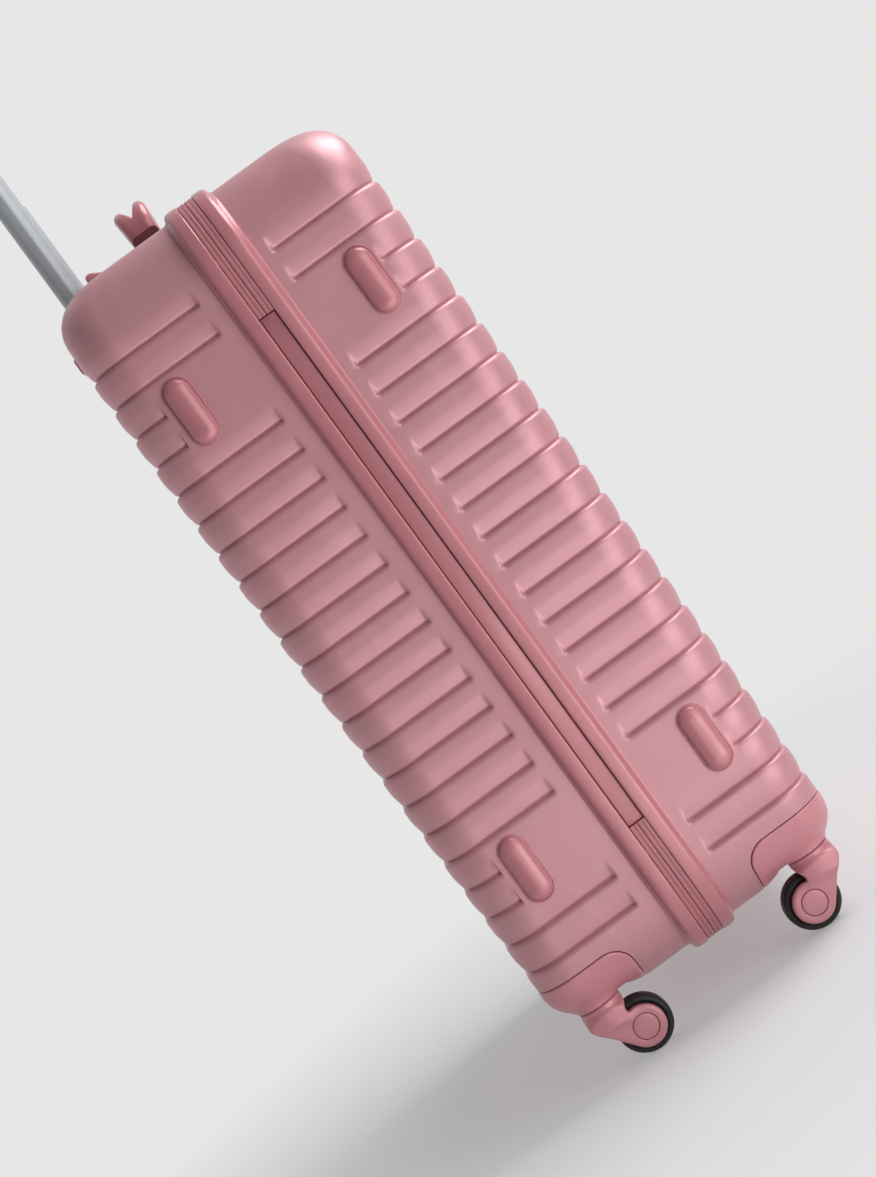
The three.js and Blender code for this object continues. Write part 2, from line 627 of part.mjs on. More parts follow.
function lockBody() {
  const half = LOCK_WIDTH / 2;
  const outline = roundedRect(LOCK_Y - half, LOCK_Y + half, MIDDLE_Z - LOCK_LENGTH / 2,
    MIDDLE_Z + LOCK_LENGTH / 2, LOCK_CORNER);
  const plate = toManifold(alongX(outline, HALF_WIDTH + GAP, LOCK_OUTER, 4, 1.2));
  const windows = dialHeights.map((z) => toManifold(box(DIAL_X - DIAL_RADIUS - GAP, LOCK_OUTER + 5,
    LOCK_Y - DIAL_RADIUS - GAP, LOCK_Y + DIAL_RADIUS + GAP,
    z - DIAL_WIDTH / 2 - GAP, z + DIAL_WIDTH / 2 + GAP)));
  const [low, , high] = dialHeights;
  const shaft = toManifold(cylinderZ(SHAFT_RADIUS, low - DIAL_WIDTH, high + DIAL_WIDTH, DIAL_X, LOCK_Y, 8));
  const notches = [-SLIDER_Z, SLIDER_Z].map((dz) => toManifold(box(ZIP_OUTER + 4.6, LOCK_OUTER + 5,
    LOCK_Y + half - 5, LOCK_Y + half + 5, MIDDLE_Z + dz - 4.5, MIDDLE_Z + dz + 4.5)));
  const slideLow = MIDDLE_Z - RELEASE_LOW - GAP;
  const slideWell = toManifold(box(LOCK_OUTER - 4, LOCK_OUTER + 5, LOCK_Y - 7 - GAP, LOCK_Y + 4 + GAP,
    slideLow, slideLow + RELEASE_SIZE + 2 * GAP));
  return join(cut(plate, ...windows, ...notches, slideWell), shaft);
}

function dial(z) {
  const ridges = 20;
  const shape = new THREE.Shape();
  for (let i = 0; i < ridges; i += 1) {
    const radius = i % 2 ? DIAL_RADIUS : DIAL_RADIUS - 0.35;
    const angle = (i / ridges) * 2 * Math.PI;
    const point = [DIAL_X + radius * Math.cos(angle), LOCK_Y + radius * Math.sin(angle)];
    if (i === 0) shape.moveTo(...point);
    else shape.lineTo(...point);
  }
  const bore = new THREE.Path();
  bore.absarc(DIAL_X, LOCK_Y, SHAFT_RADIUS + GAP, 0, 2 * Math.PI, false);
  shape.holes.push(bore);
  return alongZ(shape, z - DIAL_WIDTH / 2, z + DIAL_WIDTH / 2);
}

function lockRelease() {
  const low = MIDDLE_Z - RELEASE_LOW;
  return box(LOCK_OUTER - 3.6, LOCK_OUTER + 1, LOCK_Y + 4 - RELEASE_SIZE, LOCK_Y + 4, low, low + RELEASE_SIZE);
}

// A slider straddles both tapes. Its bridge bar runs along the zip, and the pull's ring turns on it.
function zipSlider(dz) {
  const z = MIDDLE_Z + dz;
  const outline = roundedRect(-4.5, 4.5, z - 7, z + 7, 3);
  const body = toManifold(alongX(outline, ZIP_OUTER + GAP, ZIP_OUTER + 3, 3));
  const bridge = toManifold(box(ZIP_OUTER + 2, PULL_AXIS_X + 0.9, -1.4, 1.4, z - 5.5, z + 5.5));
  const eye = toManifold(box(ZIP_OUTER + 3, PULL_AXIS_X + 5, -5, 5, z - 3.2, z + 3.2));
  const bar = toManifold(cylinderZ(BRIDGE_RADIUS, z - 4, z + 4, PULL_AXIS_X, 0, 8));
  return join(cut(join(body, bridge), eye), bar);
}

function zipPull(dz) {
  const z = MIDDLE_Z + dz;
  const half = PULL_HALF_WIDTH;
  const ring = toManifold(cylinderZ(2.4, z - half, z + half, PULL_AXIS_X, 0, 10));
  const tab = toManifold(alongX(roundedRect(-PULL_LENGTH, -1, z - half, z + half, 2.4),
    PULL_AXIS_X - 0.9, PULL_AXIS_X + 0.9, 3));
  const eye = toManifold(cylinderZ(BRIDGE_RADIUS + GAP, z - 5, z + 5, PULL_AXIS_X, 0, 10));
  return cut(join(ring, tab), eye);
}

// ---- Assembly --------------------------------------------------------------------------------

const suitcase = new THREE.Group();

function place(name, geometry, finish, parent = suitcase) {
  const mesh = new THREE.Mesh(geometry, material(finish));
  mesh.name = name;
  parent.add(mesh);
  return mesh;
}

// What a lining encloses, pulled in by a margin: the inside of the shell, short of the trolley
// channels or the front face, and clear of the trolley cup and the caster housings.
function liningSpace(side, depth, liningDepth, corners, margin) {
  const start = margin > 0 ? LINING_START - 4 : LINING_START;
  const length = CUP_HALF_LENGTH + 2 + margin;
  const beyondFloor = liningDepth - margin;
  const far = side > 0 ? [beyondFloor, BEYOND] : [-BEYOND, -beyondFloor];
  return cut(
    toManifold(smoothForm(side, depth, WALL + LINING_GAP + margin, start)),
    toManifold(box(-BEYOND, BEYOND, ...far, BELOW, ABOVE)),
    toManifold(box(-length, length, CUP_FRONT - 5 - margin, BEYOND, CUP_FLOOR - 7 - margin, ABOVE)),
    ...corners.map((caster) => housingSpace(caster, 1 + margin)));
}

// Shells, with the corners taken out for the caster housings and the top rear edge for the cup.
const halves = [
  { name: 'rear', side: 1, depth: REAR_DEPTH, liningDepth: REAR_LINING_DEPTH },
  { name: 'front', side: -1, depth: FRONT_DEPTH, liningDepth: FRONT_LINING_DEPTH },
];

for (const { name, side, depth, liningDepth } of halves) {
  const corners = CASTERS.filter((caster) => caster.side === side);
  const outside = toManifold(groovedForm(side, depth));
  const inside = toManifold(smoothForm(side, depth, WALL, RIM_NEAR - 4));
  const spaces = corners.map((caster) => housingSpace(caster, 0));
  const shell = cut(outside, inside, ...spaces, ...(side > 0 ? [cupSpace()] : []));
  place(`${name}_shell`, toGeometry(shell), 'shell');

  const lining = liningSpace(side, depth, liningDepth, corners, 0)
    .subtract(liningSpace(side, depth, liningDepth, corners, LINING_THICK));
  place(`${name}_lining`, toGeometry(lining), 'lining');

  for (const caster of corners) {
    place(`${caster.name}_housing`, toGeometry(casterHousing(caster, depth)), 'trim');
    place(`${caster.name}_fork`, toGeometry(fork(caster)), 'trim');
    place(`${caster.name}_axle`, axle(caster), 'trim');
    place(`${caster.name}_hub`, hub(caster), 'hub');
    place(`${caster.name}_tyre`, tyre(caster), 'tyre');
  }
}

// Outline of the case seen from the front, grown by an offset.
function caseOutline(offset) {
  return roundedRect(-HALF_WIDTH - offset, HALF_WIDTH + offset, SHELL_LOW - offset, SHELL_HIGH + offset,
    FACE_RADIUS + offset);
}

function band(inner, outer, near, far) {
  const shape = caseOutline(outer);
  shape.holes.push(caseOutline(inner));
  return alongY(shape, near, far, 6);
}

place('rear_rim', band(RIM_CLEAR, RIM_PROUD, RIM_NEAR, RIM_FAR), 'trim');
place('front_rim', band(RIM_CLEAR, RIM_PROUD, -RIM_FAR, -RIM_NEAR), 'trim');

// The zip runs round three sides: the hinge strip closes the fourth.
const stripSpace = toManifold(box(-HALF_WIDTH - 20, -HALF_WIDTH + 20, -20, 20,
  HINGE_STRIP_LOW - GAP, HINGE_STRIP_HIGH + GAP));
for (const [name, near, far] of [['rear', GAP / 2, RIM_NEAR - GAP], ['front', -RIM_NEAR + GAP, -GAP / 2]]) {
  const tape = toManifold(band(-ZIP_INSET, ZIP_PROUD, near, far));
  place(`${name}_zip_tape`, toGeometry(tape.subtract(stripSpace)), 'zip');
}
place('hinge_strip', box(-HINGE_STRIP_OUTER, -HINGE_STRIP_INNER, -RIM_NEAR + GAP, RIM_NEAR - GAP,
  HINGE_STRIP_LOW, HINGE_STRIP_HIGH), 'trim');

// Feet on the hinge side, for standing the case on that side.
const footPlaces = [
  ['rear_upper_foot', REAR_FOOT_Y, FOOT_HIGH_Z], ['rear_lower_foot', REAR_FOOT_Y, FOOT_LOW_Z],
  ['front_upper_foot', FRONT_FOOT_Y, FOOT_HIGH_Z], ['front_lower_foot', FRONT_FOOT_Y, FOOT_LOW_Z],
];
for (const [name, y, z] of footPlaces) {
  const outline = roundedRect(y - FOOT_WIDTH / 2, y + FOOT_WIDTH / 2, z - FOOT_LENGTH / 2, z + FOOT_LENGTH / 2,
    FOOT_WIDTH / 2);
  const pill = toManifold(alongX(outline, -HALF_WIDTH - FOOT_PROUD, -HALF_WIDTH + FOOT_PROUD, 4, 4));
  const backing = toManifold(box(-HALF_WIDTH - GAP, 0, -BEYOND, BEYOND, BELOW, ABOVE));
  place(name, toGeometry(pill.subtract(backing)), 'trim');
}

// Trolley: fixed channels, two sliding stages, the cup, the grip and its button.
place('trolley_cup', toGeometry(trolleyCup()), 'trim');
place('trolley_foot', toGeometry(trolleyFoot()), 'hub');
const { channel, lower, upper } = TUBE_SECTIONS;
for (const [hand, x] of [['left', -TROLLEY_X], ['right', TROLLEY_X]]) {
  const channelLow = TROLLEY_FOOT_Z + TROLLEY_FOOT_FLOOR + GAP;
  place(`trolley_channel_${hand}`, tube(channel, x, channelLow, CUP_FLOOR - CUP_WALL - 2), 'aluminium');
  place(`trolley_lower_tube_${hand}`, tube(lower, x, ...LOWER_TUBE_SPAN), 'aluminium');
  const socketTop = GRIP_BOTTOM + GRIP_SOCKET - 0.5;
  place(`trolley_upper_tube_${hand}`, tube(upper, x, UPPER_TUBE_LOW, socketTop), 'aluminium');
}
place('trolley_grip', toGeometry(trolleyGrip()), 'trim');
place('trolley_button', gripButton(), 'hub');

// Carry handles: one on the top, one on the side away from the hinge.
const topFrame = new THREE.Group();
topFrame.position.set(0, HANDLE_Y, SHELL_HIGH + GAP);
suitcase.add(topFrame);
const sideFrame = new THREE.Group();
sideFrame.position.set(HALF_WIDTH + GAP, SIDE_HANDLE_Y, MIDDLE_Z);
sideFrame.rotation.y = Math.PI / 2;
suitcase.add(sideFrame);
for (const [name, frame, height] of [
  ['top', topFrame, TOP_HANDLE_HEIGHT], ['side', sideFrame, SIDE_HANDLE_HEIGHT]]) {
  place(`${name}_handle`, toGeometry(handleArch(height)), 'trim', frame);
  place(`${name}_handle_anchor_a`, toGeometry(handleAnchor(-1)), 'trim', frame);
  place(`${name}_handle_anchor_b`, toGeometry(handleAnchor(1)), 'trim', frame);
}

// Combination lock on the front shell, and the two zip sliders that dock beside it.
place('lock_body', toGeometry(lockBody()), 'steel');
dialHeights.forEach((z, i) => place(`lock_dial_${i + 1}`, dial(z), 'hub'));
place('lock_release', lockRelease(), 'steel');
for (const [name, dz] of [['upper', SLIDER_Z], ['lower', -SLIDER_Z]]) {
  place(`${name}_zip_slider`, toGeometry(zipSlider(dz)), 'steel');
  place(`${name}_zip_pull`, toGeometry(zipPull(dz)), 'steel');
}

// Inside: crossed packing straps in the rear half and a flat pocket in the front half.
function strap(half, zLeft, zRight) {
  const along = new THREE.Vector2(2 * half, zRight - zLeft).normalize();
  const across = new THREE.Vector2(-along.y, along.x).multiplyScalar(STRAP_WIDTH / 2);
  return toManifold(alongY(polygon([
    [-half + across.x, zLeft + across.y], [-half - across.x, zLeft - across.y],
    [half - across.x, zRight - across.y], [half + across.x, zRight + across.y]]), ...STRAP_Y));
}

function buckle() {
  const { halfWidth, halfHeight, near, far, corner } = BUCKLE;
  const outline = roundedRect(-halfWidth, halfWidth, MIDDLE_Z - halfHeight, MIDDLE_Z + halfHeight, corner);
  return toManifold(alongY(outline, near, far));
}

function pocket() {
  const { halfWidth, low, high, thick, corner } = POCKET;
  const floor = -FRONT_LINING_DEPTH + LINING_THICK + GAP;
  return alongY(roundedRect(-halfWidth, halfWidth, low, high, corner), floor, floor + thick);
}

const strapEnd = HALF_WIDTH - WALL - LINING_GAP - LINING_THICK - 14;
const [strapLow, strapHigh] = STRAP_LEVELS;
const straps = join(strap(strapEnd, strapLow, strapHigh), strap(strapEnd, strapHigh, strapLow), buckle());
place('packing_straps', toGeometry(straps), 'strap');
place('front_pocket', pocket(), 'lining');

// The finished case stands on its wheels with the middle of its box over the origin.
const bounds = new THREE.Box3().setFromObject(suitcase);
const centre = bounds.getCenter(new THREE.Vector3());
suitcase.position.set(-centre.x, -centre.y, -bounds.min.z);

export default suitcase;
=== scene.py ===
"""Looks of a hard shell suitcase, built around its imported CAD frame.

Everything is drawn in case millimetres: x from the middle of the case, y from the plane of the zip
(positive towards the trolley), z from the floor. at_case() turns them into the row frame in metres.
"""

import math

import bmesh
import bpy
import numpy as np
import openvdb
from mathutils import Matrix, Vector


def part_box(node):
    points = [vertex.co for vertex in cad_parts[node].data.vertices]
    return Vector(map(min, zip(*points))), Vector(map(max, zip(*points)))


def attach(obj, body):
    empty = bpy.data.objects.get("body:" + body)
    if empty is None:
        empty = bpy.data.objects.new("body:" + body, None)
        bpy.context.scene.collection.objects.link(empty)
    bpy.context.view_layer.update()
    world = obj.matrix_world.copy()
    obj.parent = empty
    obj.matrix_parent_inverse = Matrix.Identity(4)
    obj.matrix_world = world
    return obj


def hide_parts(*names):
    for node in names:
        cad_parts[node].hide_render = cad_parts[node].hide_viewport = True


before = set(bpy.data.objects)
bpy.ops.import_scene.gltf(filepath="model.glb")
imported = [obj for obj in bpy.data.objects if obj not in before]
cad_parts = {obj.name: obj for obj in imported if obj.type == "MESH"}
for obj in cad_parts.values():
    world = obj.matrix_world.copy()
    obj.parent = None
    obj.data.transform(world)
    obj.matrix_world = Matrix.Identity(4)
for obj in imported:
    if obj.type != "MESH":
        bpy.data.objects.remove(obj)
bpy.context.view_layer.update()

MM = 0.001

# ---- The case frame and its sizes, read from the CAD nodes ---------------------------------------


def find_origin():
    rear_low, rear_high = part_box("rear_rim")
    front_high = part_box("front_rim")[1]
    return np.array([(rear_low.x + rear_high.x) / 2, (rear_low.y + front_high.y) / 2, 0.0])


ORIGIN = find_origin()


def case_box(node):
    low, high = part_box(node)
    return (np.array(low) - ORIGIN) / MM, (np.array(high) - ORIGIN) / MM


def half_size(node, axis):
    low, high = case_box(node)
    return (high[axis] - low[axis]) / 2


def at_case(x, y, z):
    return Vector(np.array([x, y, z]) * MM + ORIGIN)


SHELL_LO, SHELL_HI = case_box("front_shell")
HALF_WIDTH = (SHELL_HI[0] - SHELL_LO[0]) / 2
SHELL_LOW, SHELL_HIGH = SHELL_LO[2], SHELL_HI[2]
DEPTHS = {1: case_box("rear_shell")[1][1], -1: -SHELL_LO[1]}
MIDDLE_Z = (SHELL_LOW + SHELL_HIGH) / 2
FACE_RADIUS = 65.0  # the corners, seen from the front
TOP_RADIUS = 38.0  # from the top and the bottom into the broad face
EDGE_RADIUS = 34.0  # from the sides into the broad face
SHELL_WALL = 5.1
CROWN = 2.5  # how much further out the walls stand at half height

RIM_LOW, RIM_HIGH = case_box("rear_rim")
RIM_NEAR, RIM_FAR = RIM_LOW[1], RIM_HIGH[1]
RIM_PROUD = RIM_HIGH[0] - HALF_WIDTH
ZIP_PROUD = case_box("rear_zip_tape")[1][0] - HALF_WIDTH

GROOVE_ROWS = 22
GROOVE_TOP = SHELL_HIGH - 72.0
GROOVE_PITCH = 27.8
GROOVE_DEPTH = 2.8
GROOVE_RISE = 4.8  # height of the steep flank below a groove's line
GROOVE_FLANK = 14.5  # height of the long flank above it
GROOVE_LINE_DEPTH = 1.25
GROOVE_LINE_HALF = 1.2
GROOVE_END = 4.2
# Where the grooves of a side start, from the zip plane: whole ones, and those that make room for a
# foot or, on the far side, for the carry handle and the lock.
LONG_STARTS = {1: 36.5, -1: 31.8}
FOOT_STARTS = {1: 109.0, -1: 97.0}
FITTING_STARTS = {1: 109.0, -1: 67.0}
FOOT_ROWS = (2, 3, 18, 19)
FITTING_ROWS = {1: range(7, 14), -1: range(9, 12)}

HOUSING_TOP = 96.5
HOUSING_CORNER = 20.0
HOUSING_X = 168.0
HOUSING_Y = {1: 65.0, -1: 53.0}
SEAM = 0.65

WHEEL_RADIUS = half_size("rear_left_tyre", 2)
WHEEL_HALF = half_size("rear_left_tyre", 0)
HUB_RADIUS = half_size("rear_left_hub", 2)
CAP_RADIUS = half_size("rear_left_axle", 2)
FORK_HALF = half_size("rear_left_axle", 0)
FORK_END = 18.2  # radius of the fork round the axle
CASTER_TRAIL = 20.4  # from the swivel axis back to the axle
NECK_RADIUS = 19.2
NECK_TOP = 59.6
PIN_RADIUS = 5.0
PIN_TOP = case_box("rear_left_fork")[1][2]
DISH_RADIUS = 52.0  # the hollow under a housing, at its mouth
DISH_TAPER = 20.0
DISH_MOUTH = 48.0
DISH_CEILING = 62.0
COLLAR_TOP = 84.0

TUBE_WALL = 1.3
CUP_FRONT = 102.0
CUP_FLOOR = 735.0
HANDLE_THICK = 13.0
HANDLE_LEG = 92.0  # from the middle of a carry handle to the outside of its leg
ANCHOR_MIDDLE = 87.0
ANCHOR_HEIGHT = 7.0
SLIDER_Z = 15.0  # from the middle of the lock to each slider

LINING_NEAR = 22.0
LINING_THICK = 1.4
LINING_DEPTHS = {1: 106.0, -1: 128.6}
STRAP_WIDTH = 26.0

NAMES = {1: "rear", -1: "front"}
HANDS = {-1: "left", 1: "right"}

# ---- Meshes --------------------------------------------------------------------------------------


def mesh_object(name, points, faces):
    mesh = bpy.data.meshes.new(name)
    mesh.from_pydata((np.asarray(points, float) * MM + ORIGIN).tolist(), [], faces)
    bm = bmesh.new()
    bm.from_mesh(mesh)
    bmesh.ops.recalc_face_normals(bm, faces=bm.faces)
    bm.to_mesh(mesh)
    bm.free()
    obj = bpy.data.objects.new(name, mesh)
    bpy.context.scene.collection.objects.link(obj)
    return obj


def loft(name, rings, closed=False):
    """A solid through rings of equal length: a closed tube, or one with a flat face at each end."""
    rings = np.asarray(rings, float)
    count, size = rings.shape[:2]
    faces = []
    for r in range(count if closed else count - 1):
        for i in range(size):
            a, b = r * size + i, r * size + (i + 1) % size
            over = ((r + 1) % count - r) * size
            faces.append((a, b, b + over, a + over))
    if not closed:
        faces.append(tuple(range(size))[::-1])
        faces.append(tuple((count - 1) * size + i for i in range(size)))
    return mesh_object(name, rings.reshape(-1, 3), faces)


def turned(name, half_profile, centre, middle=(), steps=72):
    """A ring or disc turned about X: half_profile is (radius, place along X), and is mirrored."""
    profile = [*half_profile, *middle, *((radius, -place) for radius, place in reversed(half_profile))]
    rings = []
    for i in range(steps):
        angle = 2 * math.pi * i / steps
        rings.append([np.add(centre, (place, radius * math.cos(angle), radius * math.sin(angle)))
                      for radius, place in profile])
    return loft(name, rings, closed=True)


def box_solid(name, low, high):
    outline = ((low[0], low[1]), (high[0], low[1]), (high[0], high[1]), (low[0], high[1]))
    return loft(name, [[(x, y, z) for x, y in outline] for z in (low[2], high[2])])


def tube_solid(name, outer, inner, low, high):
    """A straight hollow tube, its ends rounded over slightly."""
    middle = np.mean(outer, axis=0)
    worn = middle + (np.array(outer) - middle) * 0.96
    levels = np.linspace(low + 0.3, high - 0.3, int((high - low) / 12.0) + 2)
    stack = [(inner, low), (worn, low), *[(outer, z) for z in levels]]
    stack += [(worn, high), (inner, high), *[(inner, z) for z in levels[-2:0:-1]]]
    return loft(name, [[(x, y, z) for x, y in outline] for outline, z in stack], closed=True)


def carve(name, low, high, voxel, field):
    """A closed mesh round the points where field(x, y, z) is negative."""
    low = np.asarray(low, float) - 2 * voxel
    counts = [int(math.ceil((h + 2 * voxel - l) / voxel)) + 1 for l, h in zip(low, high)]
    axes = [l + voxel * np.arange(n) for l, n in zip(low, counts)]
    x, y, z = np.meshgrid(*axes, indexing="ij", sparse=True)
    values = np.broadcast_to(field(x, y, z), counts).astype(np.float32)
    values = np.clip(values, -3 * voxel, 3 * voxel)
    grid = openvdb.FloatGrid(background=3 * voxel)
    grid.copyFromArray(values)
    points, quads = grid.convertToQuads(isovalue=0.0)
    points = np.asarray(points, float) * voxel + low
    return mesh_object(name, points, np.asarray(quads).tolist())


def cut_away(obj, cutters):
    """Takes the cutters out of obj, and removes them."""
    for cutter in cutters:
        modifier = obj.modifiers.new("cut", "BOOLEAN")
        modifier.object = cutter
        modifier.operation = "DIFFERENCE"
        modifier.solver = "MANIFOLD"
    graph = bpy.context.evaluated_depsgraph_get()
    mesh = bpy.data.meshes.new_from_object(obj.evaluated_get(graph))
    obj.modifiers.clear()
    obj.data = mesh
    for cutter in cutters:
        bpy.data.objects.remove(cutter)
    return obj


def finish_piece(obj, material, body, slot, *nodes, sharp=38):
    """Gives a piece its material and its body, and hides the CAD nodes that it stands for."""
    obj.data.materials.clear()
    obj.data.materials.append(material)
    obj.data.shade_smooth()
    obj.data.set_sharp_from_angle(angle=math.radians(sharp))
    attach(obj, body)
    if nodes:
        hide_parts(*nodes)


def dress_node(name, material, edge_width):
    """Keeps a CAD node as it is, with rounded edges and a material."""
    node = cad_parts[name]
    node.data.materials.clear()
    node.data.materials.append(material)
    edge = node.modifiers.new("edge", "BEVEL")
    edge.width = edge_width * MM
    edge.segments = 3
    edge.limit_method = "ANGLE"


# ---- Outlines and distances ----------------------------------------------------------------------


def arc(cx, cy, radius, start, end, steps):
    angles = np.radians(np.linspace(start, end, steps + 1))
    return [(cx + radius * math.cos(a), cy + radius * math.sin(a)) for a in angles]


def rounded_rect(x0, x1, y0, y1, radius, steps=8):
    return (
        arc(x1 - radius, y0 + radius, radius, -90, 0, steps)
        + arc(x1 - radius, y1 - radius, radius, 0, 90, steps)
        + arc(x0 + radius, y1 - radius, radius, 90, 180, steps)
        + arc(x0 + radius, y0 + radius, radius, 180, 270, steps)
    )


def mirrored(half):
    """An outline whose left half is given, from its far end to the middle."""
    return half + [(-a, b) for a, b in reversed(half)]


def bezier(p0, p1, p2, p3, steps=12):
    """The points after p0 on a cubic curve."""
    points = [np.array(p, float) for p in (p0, p1, p2, p3)]
    out = []
    for i in range(1, steps + 1):
        t = i / steps
        weights = ((1 - t) ** 3, 3 * t * (1 - t) ** 2, 3 * t * t * (1 - t), t**3)
        out.append(tuple(sum(w * p for w, p in zip(weights, points))))
    return out


def smooth_step(value, start, end):
    t = np.clip((value - start) / (end - start), 0, 1)
    return t * t * (3 - 2 * t)


def smooth_min(a, b, k):
    h = np.clip(0.5 + 0.5 * (b - a) / k, 0, 1)
    return b * (1 - h) + a * h - k * h * (1 - h)


def smooth_max(a, b, k):
    return -smooth_min(-a, -b, k)


def box_distance(x, y, z, low, high, radius=0.0):
    """Distance to a box with rounded edges."""
    middle, half = (np.array(low) + high) / 2, (np.array(high) - low) / 2 - radius
    q = [np.abs(v - m) - h for v, m, h in zip((x, y, z), middle, half)]
    outside = np.sqrt(sum(np.maximum(v, 0) ** 2 for v in q))
    inside = np.minimum(np.maximum(np.maximum(q[0], q[1]), q[2]), 0)
    return outside + inside - radius


def rect_distance(a, b, low, high, radius):
    """Distance to a rounded rectangle in the plane of a and b."""
    qa = np.abs(a - (low[0] + high[0]) / 2) - (high[0] - low[0]) / 2 + radius
    qb = np.abs(b - (low[1] + high[1]) / 2) - (high[1] - low[1]) / 2 + radius
    outside = np.sqrt(np.maximum(qa, 0) ** 2 + np.maximum(qb, 0) ** 2)
    return outside + np.minimum(np.maximum(qa, qb), 0) - radius


def polygon_distance(a, b, outline):
    """Distance to a closed outline in the plane of a and b, negative inside it."""
    a, b = np.broadcast_arrays(a, b)
    best = np.full(a.shape, 1e18)
    inside = np.zeros(a.shape, bool)
    for (ax, ay), (bx, by) in zip(outline, outline[1:] + outline[:1]):
        ex, ey = bx - ax, by - ay
        length = ex * ex + ey * ey
        if length == 0:
            continue
        t = np.clip(((a - ax) * ex + (b - ay) * ey) / length, 0, 1)
        best = np.minimum(best, (a - ax - t * ex) ** 2 + (b - ay - t * ey) ** 2)
        crosses = (ay > b) != (by > b)
        if ey != 0:
            inside ^= crosses & (a < ax + (b - ay) * ex / ey)
    return np.where(inside, -1, 1) * np.sqrt(best)


# ---- Materials -----------------------------------------------------------------------------------


def plug(tree, socket, value):
    """Links a socket to another node's output, or sets it to a plain value."""
    if isinstance(value, bpy.types.NodeSocket):
        tree.links.new(value, socket)
    else:
        socket.default_value = value


def feed(tree, node, **sockets):
    for name, value in sockets.items():
        plug(tree, node.inputs[name.replace("_", " ")], value)


def new_material(name, **sockets):
    material = bpy.data.materials.new(name)
    material.use_nodes = True
    shader = material.node_tree.nodes["Principled BSDF"]
    feed(material.node_tree, shader, **sockets)
    return material, material.node_tree, shader


def add_node(tree, kind, numbered=None, **settings):
    """A node with its properties and named sockets set, and other sockets given by number."""
    node = tree.nodes.new(kind)
    for key, value in settings.items():
        socket = key.replace("_", " ")
        if socket in node.inputs:
            plug(tree, node.inputs[socket], value)
        else:
            setattr(node, key, value)
    for number, value in (numbered or {}).items():
        plug(tree, node.inputs[number], value)
    return node


def noise(tree, scale, detail=2.0, stretch=None):
    """Noise in object space, finer along some axes if stretch says so."""
    source = add_node(tree, "ShaderNodeTexCoord").outputs["Object"]
    if stretch:
        source = add_node(tree, "ShaderNodeMapping", Vector=source, Scale=stretch).outputs["Vector"]
    texture = add_node(tree, "ShaderNodeTexNoise", Vector=source, Scale=scale, Detail=detail)
    return texture.outputs["Fac"]


def ramp(tree, source, low, high, start=0.3, end=0.7):
    """A value or a colour that runs from low to high as source does."""
    node = add_node(tree, "ShaderNodeValToRGB", Fac=source)
    for element, place, value in zip(node.color_ramp.elements, (start, end), (low, high)):
        element.position = place
        element.color = (*value, 1) if hasattr(value, "__len__") else (value, value, value, 1)
    return node.outputs["Color"]


def patches(tree, scale, detail, low, high):
    """Soft patches between two values or colours."""
    return ramp(tree, noise(tree, scale, detail), low, high)


def bump(tree, shader, height, strength, distance, under=None):
    """Raises the shader's surface by a height, on top of an earlier bump if one is given."""
    node = add_node(tree, "ShaderNodeBump", Strength=strength, Distance=distance, Height=height)
    if under is not None:
        feed(tree, node, Normal=under.outputs["Normal"])
    feed(tree, shader, Normal=node.outputs["Normal"])
    return node


def scuffs(tree, colour, worn):
    """Mixes a paler colour in along a few faint rubbed streaks."""
    share = ramp(tree, noise(tree, 1.0, 6.0, (40.0, 40.0, 9.0)), 0.0, 0.35, 0.62, 0.74)
    mix = add_node(tree, "ShaderNodeMix", {0: share, 6: colour, 7: (*worn, 1)}, data_type="RGBA")
    return mix.outputs[2]


def moulded_plastic(name, base, dark, roughness, grain, **sockets):
    """Satin moulded plastic: faint mottling, orange peel and a fine grain."""
    material, tree, shader = new_material(name, **sockets)
    worn = tuple(min(1.0, c * 1.12 + 0.02) for c in base)
    feed(tree, shader, Base_Color=scuffs(tree, patches(tree, 14.0, 3.0, dark, base), worn),
         Roughness=patches(tree, 60.0, 4.0, roughness - 0.04, roughness + 0.05))
    peel = bump(tree, shader, noise(tree, 130.0, 1.0), 0.10, 0.0006)
    bump(tree, shader, noise(tree, grain, 2.0), 0.12, 0.00012, peel)
    return material


def rubber(name, base):
    """Matt rubber with a fine grain."""
    material, tree, shader = new_material(name, Specular_IOR_Level=0.35)
    pale = tuple(c * 1.5 for c in base)
    feed(tree, shader, Base_Color=patches(tree, 90.0, 4.0, base, pale),
         Roughness=patches(tree, 200.0, 3.0, 0.42, 0.62))
    bump(tree, shader, noise(tree, 900.0, 3.0), 0.25, 0.0002)
    return material


def drawn_metal(name, base, roughness, stretch, metallic):
    """Metal with fine drawing lines along one axis, and a faint unevenness."""
    material, tree, shader = new_material(name, Metallic=metallic)
    lines = noise(tree, 1.0, 1.5, stretch)
    pale = tuple(min(1.0, c * 1.1) for c in base)
    feed(tree, shader, Base_Color=ramp(tree, lines, base, pale),
         Roughness=ramp(tree, lines, roughness - 0.05, roughness + 0.08))
    bump(tree, shader, noise(tree, 300.0, 1.0), 0.03, 0.0001)
    return material


